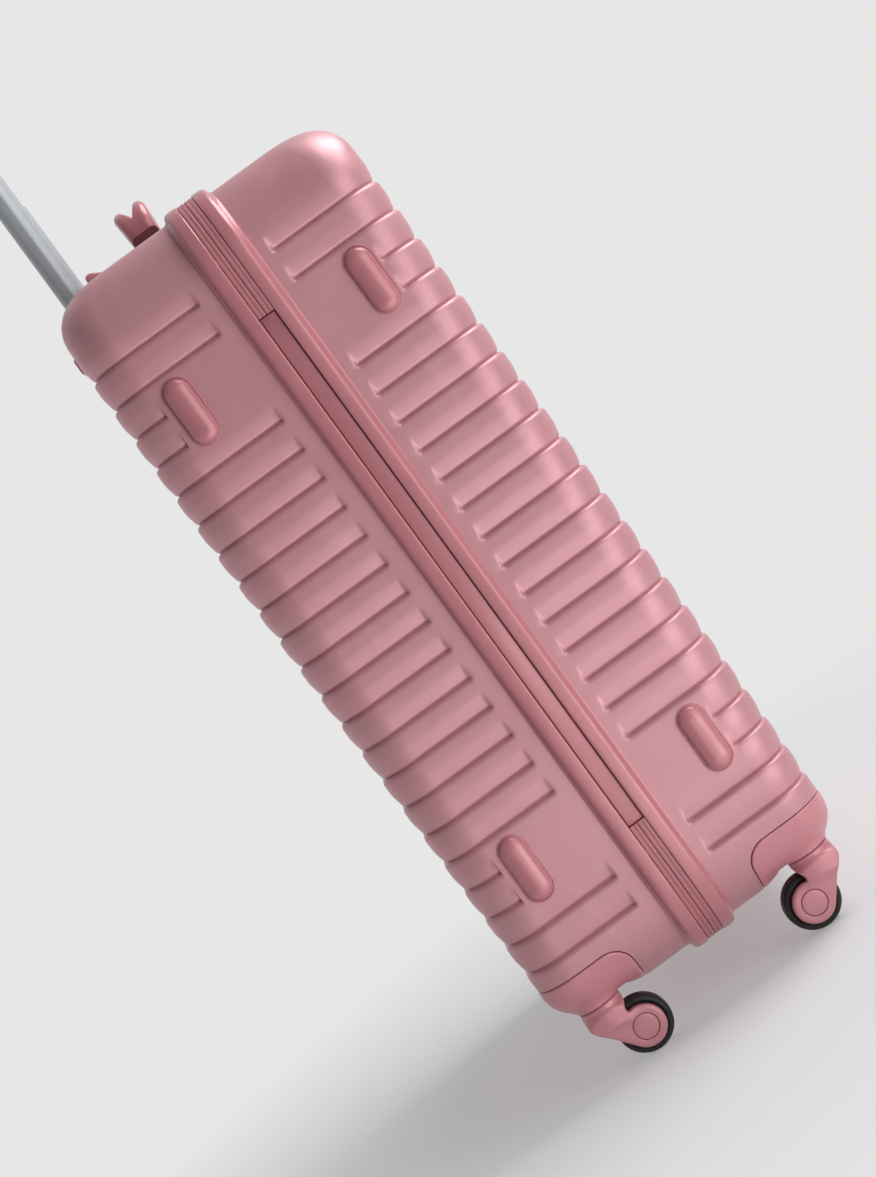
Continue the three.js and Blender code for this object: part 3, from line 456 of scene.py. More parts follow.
def woven(name, base, dark, pitch, sheen):
    """Cloth: two crossing sets of yarns, with mottled colour."""
    material, tree, shader = new_material(name, Sheen_Weight=sheen, Sheen_Roughness=0.5)
    place = add_node(tree, "ShaderNodeTexCoord").outputs["Object"]
    bands_per_metre = math.pi / (10 * pitch * MM)
    yarns = {}
    for number, direction in enumerate("XZ"):
        wave = add_node(tree, "ShaderNodeTexWave", bands_direction=direction, Vector=place,
                        Scale=bands_per_metre, Distortion=0.4, Detail_Scale=4.0)
        yarns[number] = wave.outputs["Fac"]
    cross = add_node(tree, "ShaderNodeMath", yarns, operation="MAXIMUM").outputs[0]
    mottle = patches(tree, 35.0, 4.0, dark, base)
    shade = ramp(tree, cross, 0.55, 1.0, 0.1, 0.9)
    yarn = add_node(tree, "ShaderNodeMix", {0: 0.5, 6: mottle, 7: shade}, data_type="RGBA",
                    blend_type="MULTIPLY")
    feed(tree, shader, Base_Color=yarn.outputs[2], Roughness=patches(tree, 80.0, 3.0, 0.75, 0.95))
    bump(tree, shader, cross, 0.5, 0.0003)
    return material


SHELL = moulded_plastic("shell_plastic", (0.575, 0.278, 0.312), (0.550, 0.258, 0.290), 0.44, 1500.0,
                        Metallic=0.35, Coat_Weight=0.18, Coat_Roughness=0.3)
TRIM = moulded_plastic("trim_plastic", (0.50, 0.190, 0.215), (0.475, 0.175, 0.200), 0.32, 1800.0,
                       Metallic=0.15, Coat_Weight=0.2, Coat_Roughness=0.2)
# A paler copy of the trim plastic for the caster housings, forks and axle caps: painted light from the
# floor bounce on the bottom of the case.
BOUNCE_LIT_TRIM = moulded_plastic("caster_plastic_painted_bounce", (0.60, 0.245, 0.280), (0.575, 0.230, 0.264), 0.36, 1800.0,
                         Metallic=0.15, Coat_Weight=0.15, Coat_Roughness=0.25)
ZIP = moulded_plastic("zip_welt", (0.45, 0.160, 0.182), (0.41, 0.140, 0.162), 0.46, 2400.0)
# Near-black red for the oval on each carry handle's leg end: painted shade, not the plastic's own colour.
SHADE_PATCH_PLASTIC = moulded_plastic("handle_painted_shade", (0.16, 0.035, 0.045), (0.13, 0.028, 0.036), 0.45, 1800.0)
CHALK = moulded_plastic("figure_paint", (0.75, 0.75, 0.74), (0.68, 0.68, 0.67), 0.5, 2000.0)
TYRE = rubber("tyre_rubber", (0.016, 0.0145, 0.0145))
GREY = moulded_plastic("grey_plastic", (0.11, 0.105, 0.108), (0.085, 0.08, 0.083), 0.42, 1800.0)
TUBE = drawn_metal("anodised_tube", (0.42, 0.45, 0.475), 0.44, (120.0, 120.0, 2.0), 0.45)
STEEL = drawn_metal("plated_steel", (0.46, 0.455, 0.46), 0.36, (700.0, 60.0, 700.0), 0.6)
LINING = woven("lining_cloth", (0.34, 0.262, 0.268), (0.315, 0.240, 0.246), 0.7, 0.25)
WEBBING = woven("strap_webbing", (0.16, 0.115, 0.12), (0.12, 0.085, 0.09), 1.3, 0.1)

# ---- Shells --------------------------------------------------------------------------------------


def pull_in(radius, height):
    rest = np.maximum(0.0, radius - height)
    return radius - np.sqrt(radius * radius - rest * rest)


def shell_extent(z, side, inset):
    """Half width and depth of the smooth form at a height, with its slight crown."""
    height = np.minimum(z - (SHELL_LOW + inset), SHELL_HIGH - inset - z)
    height = np.maximum(height, 0.0)
    crown = CROWN * np.square((z - MIDDLE_Z) / (SHELL_HIGH - MIDDLE_Z))
    half = HALF_WIDTH - inset - crown - pull_in(FACE_RADIUS - inset, height)
    far = DEPTHS[side] - inset - crown - pull_in(TOP_RADIUS - inset, height)
    return half, far


def groove_line(row):
    return GROOVE_TOP - row * GROOVE_PITCH


def groove_at(z):
    """The row and the depth of the groove at a height.

    A steep flank below its line, a long one above it, and a narrow crease along the line.
    """
    row = int(round((GROOVE_TOP - z) / GROOVE_PITCH + 0.5 - GROOVE_RISE / GROOVE_PITCH - 1e-9))
    row = min(max(row, 0), GROOVE_ROWS - 1)
    above = z - groove_line(row)
    crease = GROOVE_LINE_DEPTH * math.exp(-((above / GROOVE_LINE_HALF) ** 2))
    if above <= 0:
        share = min(1.0, -above / GROOVE_RISE)
        return row, GROOVE_DEPTH * (1 - share) ** 2 + crease
    share = min(1.0, above / GROOVE_FLANK)
    return row, GROOVE_DEPTH * (1 - share) ** 1.35 + crease


def flank_levels(side):
    """Distances from the zip plane, closer together where grooves end."""
    far = DEPTHS[side] - EDGE_RADIUS
    starts = {LONG_STARTS[side], FOOT_STARTS[side], FITTING_STARTS[side]}
    fine = [s + GROOVE_END * t for s in starts for t in (0, 0.15, 0.3, 0.45, 0.6, 0.75, 0.9, 1.05)]
    coarse = [RIM_NEAR, RIM_FAR, *np.arange(RIM_FAR + 5, far - 8, 7.0)]
    kept = [c for c in coarse if all(abs(c - f) > 1.5 for f in fine)]
    return sorted(kept + [f for f in fine if f < far - 1])


def shell_ring(z, side, inset, notch, starts, levels, near):
    half, far = shell_extent(z, side, inset)
    radius = EDGE_RADIUS - inset
    scale = (far - radius - near) / (DEPTHS[side] - EDGE_RADIUS - near)
    ring = []
    for hand, start in ((1, starts[1]), (-1, starts[0])):
        points = []
        for level in levels:
            y = near + (level - near) * min(1.0, scale)
            depth = notch * smooth_step(y, start, start + GROOVE_END)
            points.append((hand * (half - depth), side * y, z))
        for a, b in arc(half - radius, far - radius, radius - notch, 0, 90, 12):
            points.append((hand * a, side * b, z))
        ring.extend(points if hand > 0 else points[::-1])
    return ring


def row_starts(row, side):
    foot = FOOT_STARTS[side] if row in FOOT_ROWS else LONG_STARTS[side]
    fitting = FITTING_STARTS[side] if row in FITTING_ROWS[side] else LONG_STARTS[side]
    return foot, fitting


def end_heights(inset, steps=14):
    radius = FACE_RADIUS - inset
    return [radius * (1 - math.cos(math.pi / 2 * i / steps)) for i in range(steps + 1)]


def grooved_solid(name, side):
    levels = flank_levels(side)
    steep = [-GROOVE_RISE * t for t in (1.0, 0.8, 0.62, 0.46, 0.34, 0.24, 0.16, 0.08, 0.0)]
    shares = (0.016, 0.032, 0.05, 0.08, 0.13, 0.2, 0.3, 0.4, 0.5, 0.58, 0.66, 0.8)
    long = [(GROOVE_PITCH - GROOVE_RISE) * t for t in shares]
    heights = {round(groove_line(row) + t, 3) for row in range(GROOVE_ROWS) for t in steep + long}
    heights.add(round(GROOVE_TOP + GROOVE_PITCH - GROOVE_RISE, 3))
    for height in end_heights(0):
        for z in (SHELL_LOW + height, SHELL_HIGH - height):
            if all(abs(z - h) > 1.2 for h in heights):
                heights.add(round(z, 3))
    rings = []
    for z in sorted(heights):
        row, notch = groove_at(z)
        rings.append(shell_ring(z, side, 0, notch, row_starts(row, side), levels, RIM_NEAR))
    return loft(name, rings)


def smooth_solid(name, side, inset, near):
    levels = [near, *np.linspace(near + 10, DEPTHS[side] - EDGE_RADIUS - 2, 6)]
    heights = [SHELL_LOW + inset + h for h in end_heights(inset)]
    heights += [SHELL_HIGH - inset - h for h in reversed(end_heights(inset))]
    rings = [shell_ring(z, side, inset, 0, (0, 0), levels, near) for z in heights]
    return loft(name, rings)


def housing_block(name, hand, side, margin=0.0):
    """The space that a caster housing takes out of a bottom corner of the shell."""
    far_x, far_y = HOUSING_X + 200.0, HOUSING_Y[side] + 200.0
    rings = []
    for angle in range(0, 91, 9):
        drop = HOUSING_CORNER * (1 - math.sin(math.radians(angle)))
        pull = HOUSING_CORNER * (1 - math.cos(math.radians(angle))) - margin
        x, y, z = HOUSING_X + pull, HOUSING_Y[side] + pull, HOUSING_TOP - drop + margin
        corners = ((x, y), (far_x, y), (far_x, far_y), (x, far_y))
        rings.append([(hand * a, side * b, z) for a, b in corners])
    floor = [(x, y, 0.0) for x, y, z in rings[0]]
    return loft(name, [floor, *rings])


def cup_block(name, margin=0.0):
    high = case_box("trolley_cup")[1]
    x, y, z = high[0] + 0.4 + margin, CUP_FRONT - 3.4 - margin, CUP_FLOOR - 4.4 - margin
    return box_solid(name, (-x, y, z), (x, high[1] + 40, high[2] + 40))


def make_shell(side):
    name = NAMES[side]
    shell = grooved_solid(f"{name}_shell_moulding", side)
    cutters = [smooth_solid("hollow", side, SHELL_WALL, RIM_NEAR - 4)]
    cutters += [housing_block("corner", hand, side) for hand in HANDS]
    if side > 0:
        cutters.append(cup_block("cup"))
    cut_away(shell, cutters)
    finish_piece(shell, SHELL, f"{name}_case", "shell", f"{name}_shell")


# ---- Rims, zip and hinge strip -------------------------------------------------------------------


def case_path(steps=18):
    """Points round the case seen from the front, with the way out from the case at each."""
    points = []
    half = HALF_WIDTH - FACE_RADIUS
    low, high = SHELL_LOW + FACE_RADIUS, SHELL_HIGH - FACE_RADIUS
    for cx, cz, start in ((half, low, -90), (half, high, 0), (-half, high, 90), (-half, low, 180)):
        for i in range(steps + 1):
            angle = math.radians(start + 90 * i / steps)
            out = (math.cos(angle), math.sin(angle))
            points.append(((cx + FACE_RADIUS * out[0], cz + FACE_RADIUS * out[1]), out))
    return points


def sweep_case(name, profile, path, closed):
    """A profile of (distance from the zip plane, distance out of the case) taken along a path."""
    rings = [[(x + out * ox, y, z + out * oz) for y, out in profile] for (x, z), (ox, oz) in path]
    return loft(name, rings, closed)


def rim_profile(side):
    """A flat crest with a crisp inner edge, and a rounded back that runs out in a fillet."""
    top = RIM_PROUD
    inner = [(RIM_NEAR, -3.0), (RIM_NEAR, top - 1.4)]
    inner += [(RIM_NEAR + 1.4 - a, top - 1.4 + b) for a, b in arc(0, 0, 1.4, 20, 90, 4)]
    crest = [(RIM_NEAR + 4.0, top + 0.12), (RIM_FAR - 7.0, top - 0.05)]
    back = arc(RIM_FAR - 5.2, top - 4.9, 4.8, 82, 12, 8)
    fillet = [(RIM_FAR + 0.1, 0.9), (RIM_FAR + 1.0, 0.1), (RIM_FAR + 2.4, -0.4), (RIM_FAR + 3.0, -3.5)]
    return [(side * y, out) for y, out in inner + crest + back + fillet]


def make_rims():
    for side, name in NAMES.items():
        rim = sweep_case(f"{name}_rim_frame", rim_profile(side), case_path(), True)
        finish_piece(rim, TRIM, f"{name}_case", "trim", f"{name}_rim", sharp=50)


def ribs(near, far, base, crest, count):
    """A row of round ribs seen end on."""
    width = (far - near) / count
    points = []
    for i in range(count):
        for step in range(7):
            angle = math.pi * step / 6
            y = near + width * (i + 0.5 - 0.5 * math.cos(angle))
            points.append((y, base + (crest - base) * math.sin(angle) ** 0.7))
    return points


def zip_path(strip_low, strip_high):
    """The case path from the top of the hinge strip over the top and down round to its bottom."""
    path = case_path()
    x = -HALF_WIDTH
    first = [((x, strip_high), (-1.0, 0.0))]
    last = [((x, strip_low), (-1.0, 0.0))]
    quarter = len(path) // 4
    bottom_right, top_right = path[:quarter], path[quarter:2 * quarter]
    top_left, bottom_left = path[2 * quarter:3 * quarter], path[3 * quarter:]
    return first + (bottom_left + bottom_right + top_right + top_left)[::-1] + last


def make_zip():
    low, high = case_box("hinge_strip")
    for side, name in NAMES.items():
        edge = ribs(0.2, RIM_NEAR - 0.25, ZIP_PROUD - 1.15, ZIP_PROUD - 0.4, 2)
        profile = [(0.2, -4.0), *edge, (RIM_NEAR - 0.25, -4.0)]
        profile = [(side * y, out) for y, out in profile]
        path = zip_path(low[2] - 0.9, high[2] + 0.9)
        tape = sweep_case(f"{name}_zip_welt", profile, path, False)
        finish_piece(tape, ZIP, f"{name}_case", "zip", f"{name}_zip_tape")
    make_hinge_strip(low, high)


def make_hinge_strip(low, high):
    """A smooth strip with rounded long edges."""
    half, out = high[1] - 0.2, -low[0]
    edge = arc(out - 1.2, half - 1.2, 1.2, 0, 90, 4)
    ring = [(-high[0], -half), *((a, -b) for a, b in reversed(edge)), (out + 0.35, 0.0)]
    ring += [*edge, (-high[0], half)]
    ends = (low[2], low[2] + 0.5, high[2] - 0.5, high[2])
    rings = []
    for i, z in enumerate(ends):
        pull = 0.5 if i in (0, 3) else 0.0
        rings.append([(-a + pull, b, z) for a, b in ring])
    strip = loft("hinge_strip_band", rings)
    finish_piece(strip, TRIM, "hinge_flap", "trim", "hinge_strip", sharp=55)


# ---- Feet ----------------------------------------------------------------------------------------


def pill_ring(y, z, x, length, radius, steps=16):
    return [(x, y + a, z + length + b) for a, b in arc(0, 0, radius, 0, 180, steps)] + [
        (x, y + a, z - length + b) for a, b in arc(0, 0, radius, 180, 360, steps)]


def make_feet():
    """Pills with a domed crown, a thin groove round them and a narrow flange."""
    for side, name in NAMES.items():
        for level in ("upper", "lower"):
            node = f"{name}_{level}_foot"
            low, high = case_box(node)
            y, z = (low[1] + high[1]) / 2, (low[2] + high[2]) / 2
            radius = (high[1] - low[1]) / 2
            length = (high[2] - low[2]) / 2 - radius
            surface = -shell_extent(z, side, 0)[0]
            crown = -low[0] + surface
            steps = [(1.9, -2.0), (1.9, -0.2), (1.5, 0.35), (0.9, 0.45), (0.5, 0.1), (0.3, -0.9),
                     (0.0, -0.9), (-0.1, 0.5)]
            reach = radius - 0.6
            steps += [(-0.1 - reach * (1 - math.cos(a)), 0.5 + (crown - 0.5) * math.sin(a) ** 0.85)
                      for a in np.linspace(0.15, math.pi / 2, 14)]
            rings = [pill_ring(y, z, surface - out, length, radius + grow) for grow, out in steps]
            foot = loft(f"{name}_{level}_foot_pill", rings)
            finish_piece(foot, TRIM, f"{name}_case", "trim", node, sharp=60)


# ---- Casters -------------------------------------------------------------------------------------


def caster_frame(side, hand):
    """Where a caster's swivel axis stands in plan, and the height of its axle."""
    low, high = case_box(f"{NAMES[side]}_{HANDS[hand]}_tyre")
    x, wheel_y, wheel_z = (low + high) / 2
    pivot_y = wheel_y + side * CASTER_TRAIL
    return x, pivot_y, wheel_z


def housing_field(side, hand):
    cx, cy, _ = caster_frame(side, hand)
    corner = (600.0, HOUSING_TOP - SEAM)

    def field(x, y, z):
        half, far = shell_extent(z, side, -0.7)
        u, v = hand * x, side * y
        skin = rect_distance(u, v, (-400.0, -400.0), (half, far), EDGE_RADIUS)
        skin = np.maximum(skin, SHELL_LOW - 0.3 - z)
        inner, edge = HOUSING_X + SEAM, HOUSING_Y[side] + SEAM
        block = np.maximum(rect_distance(v, z, (edge, -200.0), corner, HOUSING_CORNER),
                           rect_distance(u, z, (inner, -200.0), corner, HOUSING_CORNER))
        body = smooth_max(skin, block, 2.2)
        spoke = np.hypot(x - cx, y - cy)
        dish_radius = DISH_RADIUS - DISH_TAPER * smooth_step(z, DISH_MOUTH, DISH_CEILING)
        dish = np.maximum(spoke - dish_radius, z - DISH_CEILING)
        body = smooth_max(body, -dish, 1.6)
        collar = np.maximum(spoke - NECK_RADIUS, np.maximum(NECK_TOP - z, z - COLLAR_TOP))
        body = smooth_min(body, collar, 7.0)
        body = np.maximum(body, NECK_TOP - z - 12.0 * (spoke > NECK_RADIUS + 12))
        return np.maximum(body, -np.maximum(spoke - PIN_RADIUS - 0.4, z - PIN_TOP - 4.0))

    return field


def fork_outline():
    """Side view of a fork, outwards from its swivel axis: neck, slanted back edge and round wheel end."""
    centre = (-CASTER_TRAIL, WHEEL_RADIUS)
    corner = (NECK_RADIUS - 0.8, 44.0)
    dx, dz = corner[0] - centre[0], corner[1] - centre[1]
    tangent = math.degrees(math.atan2(dz, dx) - math.acos(FORK_END / math.hypot(dx, dz)))
    outline = [(-NECK_RADIUS, NECK_TOP), (NECK_RADIUS, NECK_TOP), (NECK_RADIUS, 47.5)]
    outline += bezier(outline[-1], (NECK_RADIUS, 45.5), corner, (corner[0] - 1.6, corner[1] - 1.9), 5)
    outline += arc(*centre, FORK_END, tangent, -284, 40)
    outline += bezier(outline[-1], (-14.4, 42.9), (-14.6, 46.0), (-17.6, 50.5), 8)
    outline += bezier(outline[-1], (-18.6, 52.5), (-NECK_RADIUS, 55.0), (-NECK_RADIUS, NECK_TOP - 1), 5)
    return outline


def fork_field(side, hand):
    cx, cy, _ = caster_frame(side, hand)
    outline = fork_outline()

    def field(x, y, z):
        a, b = np.abs(x - cx), side * (y - cy)
        profile = polygon_distance(b, z, outline)
        cheeks = smooth_max(profile, a - FORK_HALF, 4.2)
        spoke = np.hypot(a, b)
        neck = np.maximum(spoke - NECK_RADIUS, 41.0 - z)
        solid = smooth_min(cheeks, smooth_max(neck, profile - 0.6, 2.0), 12.0)
        reach = NECK_RADIUS + 9.0 * smooth_step(57.0 - z, 0.0, 13.0)
        solid = smooth_max(smooth_max(solid, profile, 1.5), spoke - reach - 30.0 * (b < -NECK_RADIUS), 1.5)
        step = 0.25 + 0.3 * smooth_step(spoke, NECK_RADIUS - 2.2, NECK_RADIUS - 1.2)
        solid = smooth_max(solid, z - (NECK_TOP - step), 0.5)
        axle = np.hypot(b + CASTER_TRAIL, z - WHEEL_RADIUS)
        solid = smooth_max(solid, -np.maximum(axle - WHEEL_RADIUS - 1.8, a - WHEEL_HALF - 0.8), 1.4)
        seat = np.maximum(axle - CAP_RADIUS - 0.45, FORK_HALF - 3.0 - a)
        solid = smooth_max(solid, -seat, 0.5)
        pin = np.maximum(spoke - PIN_RADIUS, np.maximum(NECK_TOP - 6 - z, z - PIN_TOP))
        return np.minimum(solid, pin)

    return field


def make_caster(side, hand):
    name = f"{NAMES[side]}_{HANDS[hand]}"
    cx, cy, cz = caster_frame(side, hand)
    wheel_y = cy - side * CASTER_TRAIL
    x_span = sorted((hand * (HOUSING_X - 1), hand * (HALF_WIDTH + 2)))
    y_span = sorted((side * 50, side * 148))
    low, high = zip(x_span, y_span, (46.0, HOUSING_TOP + 1))
    # Housing and fork take the paler copy of the trim plastic: painted light from the floor bounce.
    housing = carve(f"{name}_housing_moulding", low, high, 0.8, housing_field(side, hand))
    finish_piece(housing, BOUNCE_LIT_TRIM, f"{NAMES[side]}_case", "trim", f"{name}_housing", sharp=55)
    reach = CASTER_TRAIL + FORK_END + 1
    near, far = sorted((cy + side * (NECK_RADIUS + 2), cy - side * reach))
    fork = carve(f"{name}_fork_moulding", (cx - 20, near, 4.5), (cx + 20, far, PIN_TOP + 1), 0.65,
                 fork_field(side, hand))
    finish_piece(fork, BOUNCE_LIT_TRIM, f"{name}_caster", "trim", f"{name}_fork", sharp=50)
    for make in (make_tyre, make_hub, make_axle):
        make(name, (cx, wheel_y, cz))


def make_tyre(name, centre):
    """A tyre with rounded shoulders and a slightly raised middle line."""
    shoulder, raised = 4.6, 0.12
    wall = [(HUB_RADIUS + 0.3, WHEEL_HALF - 1.6), (HUB_RADIUS + 1.4, WHEEL_HALF - 0.9),
            (HUB_RADIUS + 3.0, WHEEL_HALF - 0.7)]
    crown = [(WHEEL_RADIUS - shoulder + b - raised, WHEEL_HALF - shoulder + a)
             for a, b in arc(0, 0, shoulder, 8, 82, 9)]
    tyre = turned(f"{name}_tyre_ring", wall + crown, centre, [(WHEEL_RADIUS, 0.0)])
    finish_piece(tyre, TYRE, f"{name}_wheel", "tyre", f"{name}_tyre", sharp=60)


def make_hub(name, centre):
    """A dished hub with a boss round the axle."""
    half, rim, web, boss = WHEEL_HALF, HUB_RADIUS, 3.0, 6.0
    profile = [(3.5, half - 0.6), (boss, half - 0.6), (boss + 0.6, half - 1.4), (boss + 1.4, web),
               (rim - 3.4, web), (rim - 2.2, half - 1.6), (rim - 1.4, half - 0.9), (rim, half - 1.2)]
    hub = turned(f"{name}_hub_wheel", profile, centre)
    finish_piece(hub, GREY, f"{name}_wheel", "hub", f"{name}_hub", sharp=40)


def make_axle(name, centre):
    """An axle with a flush round cap at each end."""
    cap, lip = CAP_RADIUS, FORK_HALF
    profile = [(0.01, lip + 0.25), (cap * 0.6, lip + 0.15), (cap - 0.8, lip - 0.02),
               (cap - 0.2, lip - 0.25), (cap, lip - 0.8), (cap, lip - 2.5), (3.0, lip - 2.5)]
    axle = turned(f"{name}_axle_cap", profile, centre)
    # The axle caps take the paler copy of the trim plastic: painted light from the floor bounce.
    finish_piece(axle, BOUNCE_LIT_TRIM, f"{name}_caster", "trim", f"{name}_axle", sharp=40)


# ---- Trolley -------------------------------------------------------------------------------------


def tube_section(node, grow=0.0):
    low, high = case_box(node)
    corner = (high[0] - low[0]) / 2 - 0.5
    return rounded_rect(low[0] - grow, high[0] + grow, low[1] - grow, high[1] + grow, corner + grow, 10)


def make_tubes():
    for hand in HANDS.values():
        for part, body in (("channel", "rear_case"), ("lower_tube", "trolley_lower"),
                           ("upper_tube", "trolley_upper")):
            node = f"trolley_{part}_{hand}"
            low, high = case_box(node)
            outer, inner = tube_section(node), tube_section(node, -TUBE_WALL)
            tube = tube_solid(f"{node}_profile", outer, inner, low[2], high[2])
            finish_piece(tube, TUBE, body, "tube", node)


def cup_outline():
    """Side view of the trolley cup: a lip that slopes up, a front wall, a floor and a back lip."""
    floor, front, rear = CUP_FLOOR, CUP_FRONT, case_box("trolley_cup")[1][1]
    skin = DEPTHS[1] - 0.4
    (_, start, low), (_, _, high) = case_box("trolley_cup")
    outline = [(start, SHELL_HIGH + 0.1)]
    outline += bezier(outline[0], (start + 14, SHELL_HIGH + 2), (start + 24, high - 7),
                      (front - 6, high - 0.4), 12)
    outline += bezier(outline[-1], (front - 2, high + 0.2), (front, high), (front, high - 5), 6)
    outline.append((front, floor + 7))
    outline += bezier(outline[-1], (front, floor + 2), (front + 2, floor), (front + 7, floor), 6)
    outline.append((skin, floor))
    outline += bezier(outline[-1], (rear - 1, floor), (rear, floor - 1), (rear, floor - 5), 6)
    outline += [(rear, low + 2.5), (rear - 2, low), (skin, low), (skin, floor - 4), (front - 3, floor - 4),
                (front - 3, SHELL_HIGH + 0.1)]
    return outline


def make_cup():
    low, high = case_box("trolley_cup")
    outline = cup_outline()
    half = high[0]
    tubes = [case_box(f"trolley_lower_tube_{hand}") for hand in HANDS.values()]

    def field(x, y, z):
        trough = polygon_distance(y, z, outline)
        ends_down = np.clip((z - SHELL_HIGH) / (high[2] - SHELL_HIGH), 0, 1)
        body = smooth_max(trough, np.abs(x) - half + 9.0 * ends_down**2, 3.0)
        plate = np.maximum(half - 3.0 - np.abs(x), np.abs(x) - half)
        inside = rect_distance(y, z, (-300.0, -300.0), (DEPTHS[1] - 1.5, SHELL_HIGH - 1.0), TOP_RADIUS)
        plate = np.maximum(plate, np.maximum(inside, np.maximum(CUP_FRONT - 1 - y, CUP_FLOOR - 2 - z)))
        body = np.minimum(body, plate)
        for tube_low, tube_high in tubes:
            hole = rect_distance(x, y, tube_low[:2] - 0.6, tube_high[:2] + 0.6, 7.0)
            body = smooth_max(body, -hole, 0.8)
        return body

    cup = carve("trolley_cup_moulding", (-half, low[1], low[2]), high, 1.0, field)
    finish_piece(cup, TRIM, "rear_case", "trim", "trolley_cup", sharp=50)


def make_grip():
    """A bar with rounded ends, finger waves underneath, two sockets and a button well."""
    low, high = case_box("trolley_grip")
    tubes = [case_box(f"trolley_upper_tube_{hand}") for hand in HANDS.values()]
    button_low, button_high = case_box("trolley_button")

    def field(x, y, z):
        lift = 2.2 * (1 - np.cos(2 * math.pi * np.clip(x / 33.0, -2, 2))) / 2
        bar = box_distance(x, y, z, low, high, 12.0)
        wave = np.maximum(z - low[2] - lift, np.abs(x) - 66.0)
        bar = smooth_max(bar, -wave, 2.0)
        seam = np.maximum(np.abs(z - (low[2] + high[2]) / 2) - 0.35, -bar - 0.7)
        bar = np.maximum(bar, -seam)
        for tube_low, tube_high in tubes:
            hole = rect_distance(x, y, tube_low[:2] - 0.3, tube_high[:2] + 0.3, 5.6)
            bar = smooth_max(bar, -np.maximum(hole, z - tube_high[2]), 0.6)
        well = rect_distance(x, y, button_low[:2] - 0.5, button_high[:2] + 0.5, 6.4)
        well = np.maximum(well, button_low[2] - 4.6 - z)
        return smooth_max(bar, -well, 0.8)

    grip = carve("trolley_grip_moulding", low, high, 0.9, field)
    finish_piece(grip, TRIM, "trolley_upper", "trim", "trolley_grip", sharp=50)


def make_button():
    """A cap with a domed top."""
    low, high = case_box("trolley_button")
    grip_low, grip_high = case_box("trolley_grip")
    middle_y = (grip_low[1] + grip_high[1]) / 2

    def field(x, y, z):
        spread = (x / (high[0] - 1)) ** 2
        top = z - high[2] + 0.7 * spread + 0.02 * (y - middle_y) ** 2
        side = rect_distance(x, y, low[:2], high[:2], 5.9)
        return smooth_max(smooth_max(side, top, 1.2), low[2] - z, 0.5)

    button = carve("trolley_button_cap", low, high, 0.4, field)
    finish_piece(button, GREY, "trolley_button", "hub", "trolley_button", sharp=50)


# ---- Carry handles -------------------------------------------------------------------------------


def arch_outlines(crest):
    """The outside of a carry handle's arch and the opening under it, seen square on."""
    leg, inside, shoulder, under = HANDLE_LEG, 82.0, 54.0, crest - HANDLE_THICK
    outer = [(-leg, 2.0), (-leg, crest * 0.45)]
    outer += bezier(outer[-1], (-leg, crest * 0.85), (-shoulder - 20, crest), (-shoulder, crest))
    inner = [(-inside, -20.0), (-inside, 10.0)]
    inner += bezier(inner[-1], (-inside, crest * 0.55), (-shoulder - 16, under), (-shoulder + 4, under))
    return mirrored(outer), mirrored(inner)


def handle_field(crest):
    outer, inner = arch_outlines(crest)

    def field(along, across, up):
        outside = polygon_distance(along, up, outer)
        inside = polygon_distance(along, up, inner)
        waist = 13.6 + 1.9 * np.square(np.clip((up - 0.42 * crest) / (0.42 * crest), -1, 1))
        flank = np.abs(across) - waist
        solid = smooth_max(outside, flank, 8.0)
        solid = smooth_max(solid, -inside, 3.0)
        valley = up - (crest - 13.5) - 1.75 * np.abs(across)
        return smooth_max(solid, valley * 0.5, 2.2)

    return field


def anchor_field(end):
    middle = end * ANCHOR_MIDDLE

    def field(along, across, up):
        base = rect_distance(along, across, (middle - 10.0, -18.0), (middle + 10.0, 18.0), 9.0)
        base = smooth_max(base, up - ANCHOR_HEIGHT + 0.012 * across**2, 3.0)
        base = np.maximum(base, -up)
        socket = rect_distance(along, across, (middle - 5.5, -16.0), (middle + 5.5, 16.0), 2.0)
        return smooth_max(base, -np.maximum(socket, 1.6 - up), 0.8)

    return field


def plug_field(end):
    """A dark oval on the end face of a leg, in near-black plastic: painted shade where the end of the leg
    lies in shadow.
    """
    face = end * HANDLE_LEG

    def field(along, across, up):
        oval = rect_distance(across, up, (-12.5, 8.5), (12.5, 18.5), 4.4)
        return smooth_max(oval, np.abs(along - face) - 0.5, 0.4)

    return field


def place_handle(name, side_on, base, field, low, high, voxel):
    """Carves a piece in (along, across, up) of a handle, on the case top or on its +X side."""
    if side_on:
        def placed(x, y, z):
            return field(-(z - base[2]), y - base[1], x - base[0])
        corners = ((base[0] + low[2], base[1] + low[1], base[2] - high[0]),
                   (base[0] + high[2], base[1] + high[1], base[2] - low[0]))
    else:
        def placed(x, y, z):
            return field(x - base[0], y - base[1], z - base[2])
        corners = (np.add(base, low), np.add(base, high))
    return carve(name, *corners, voxel, placed)


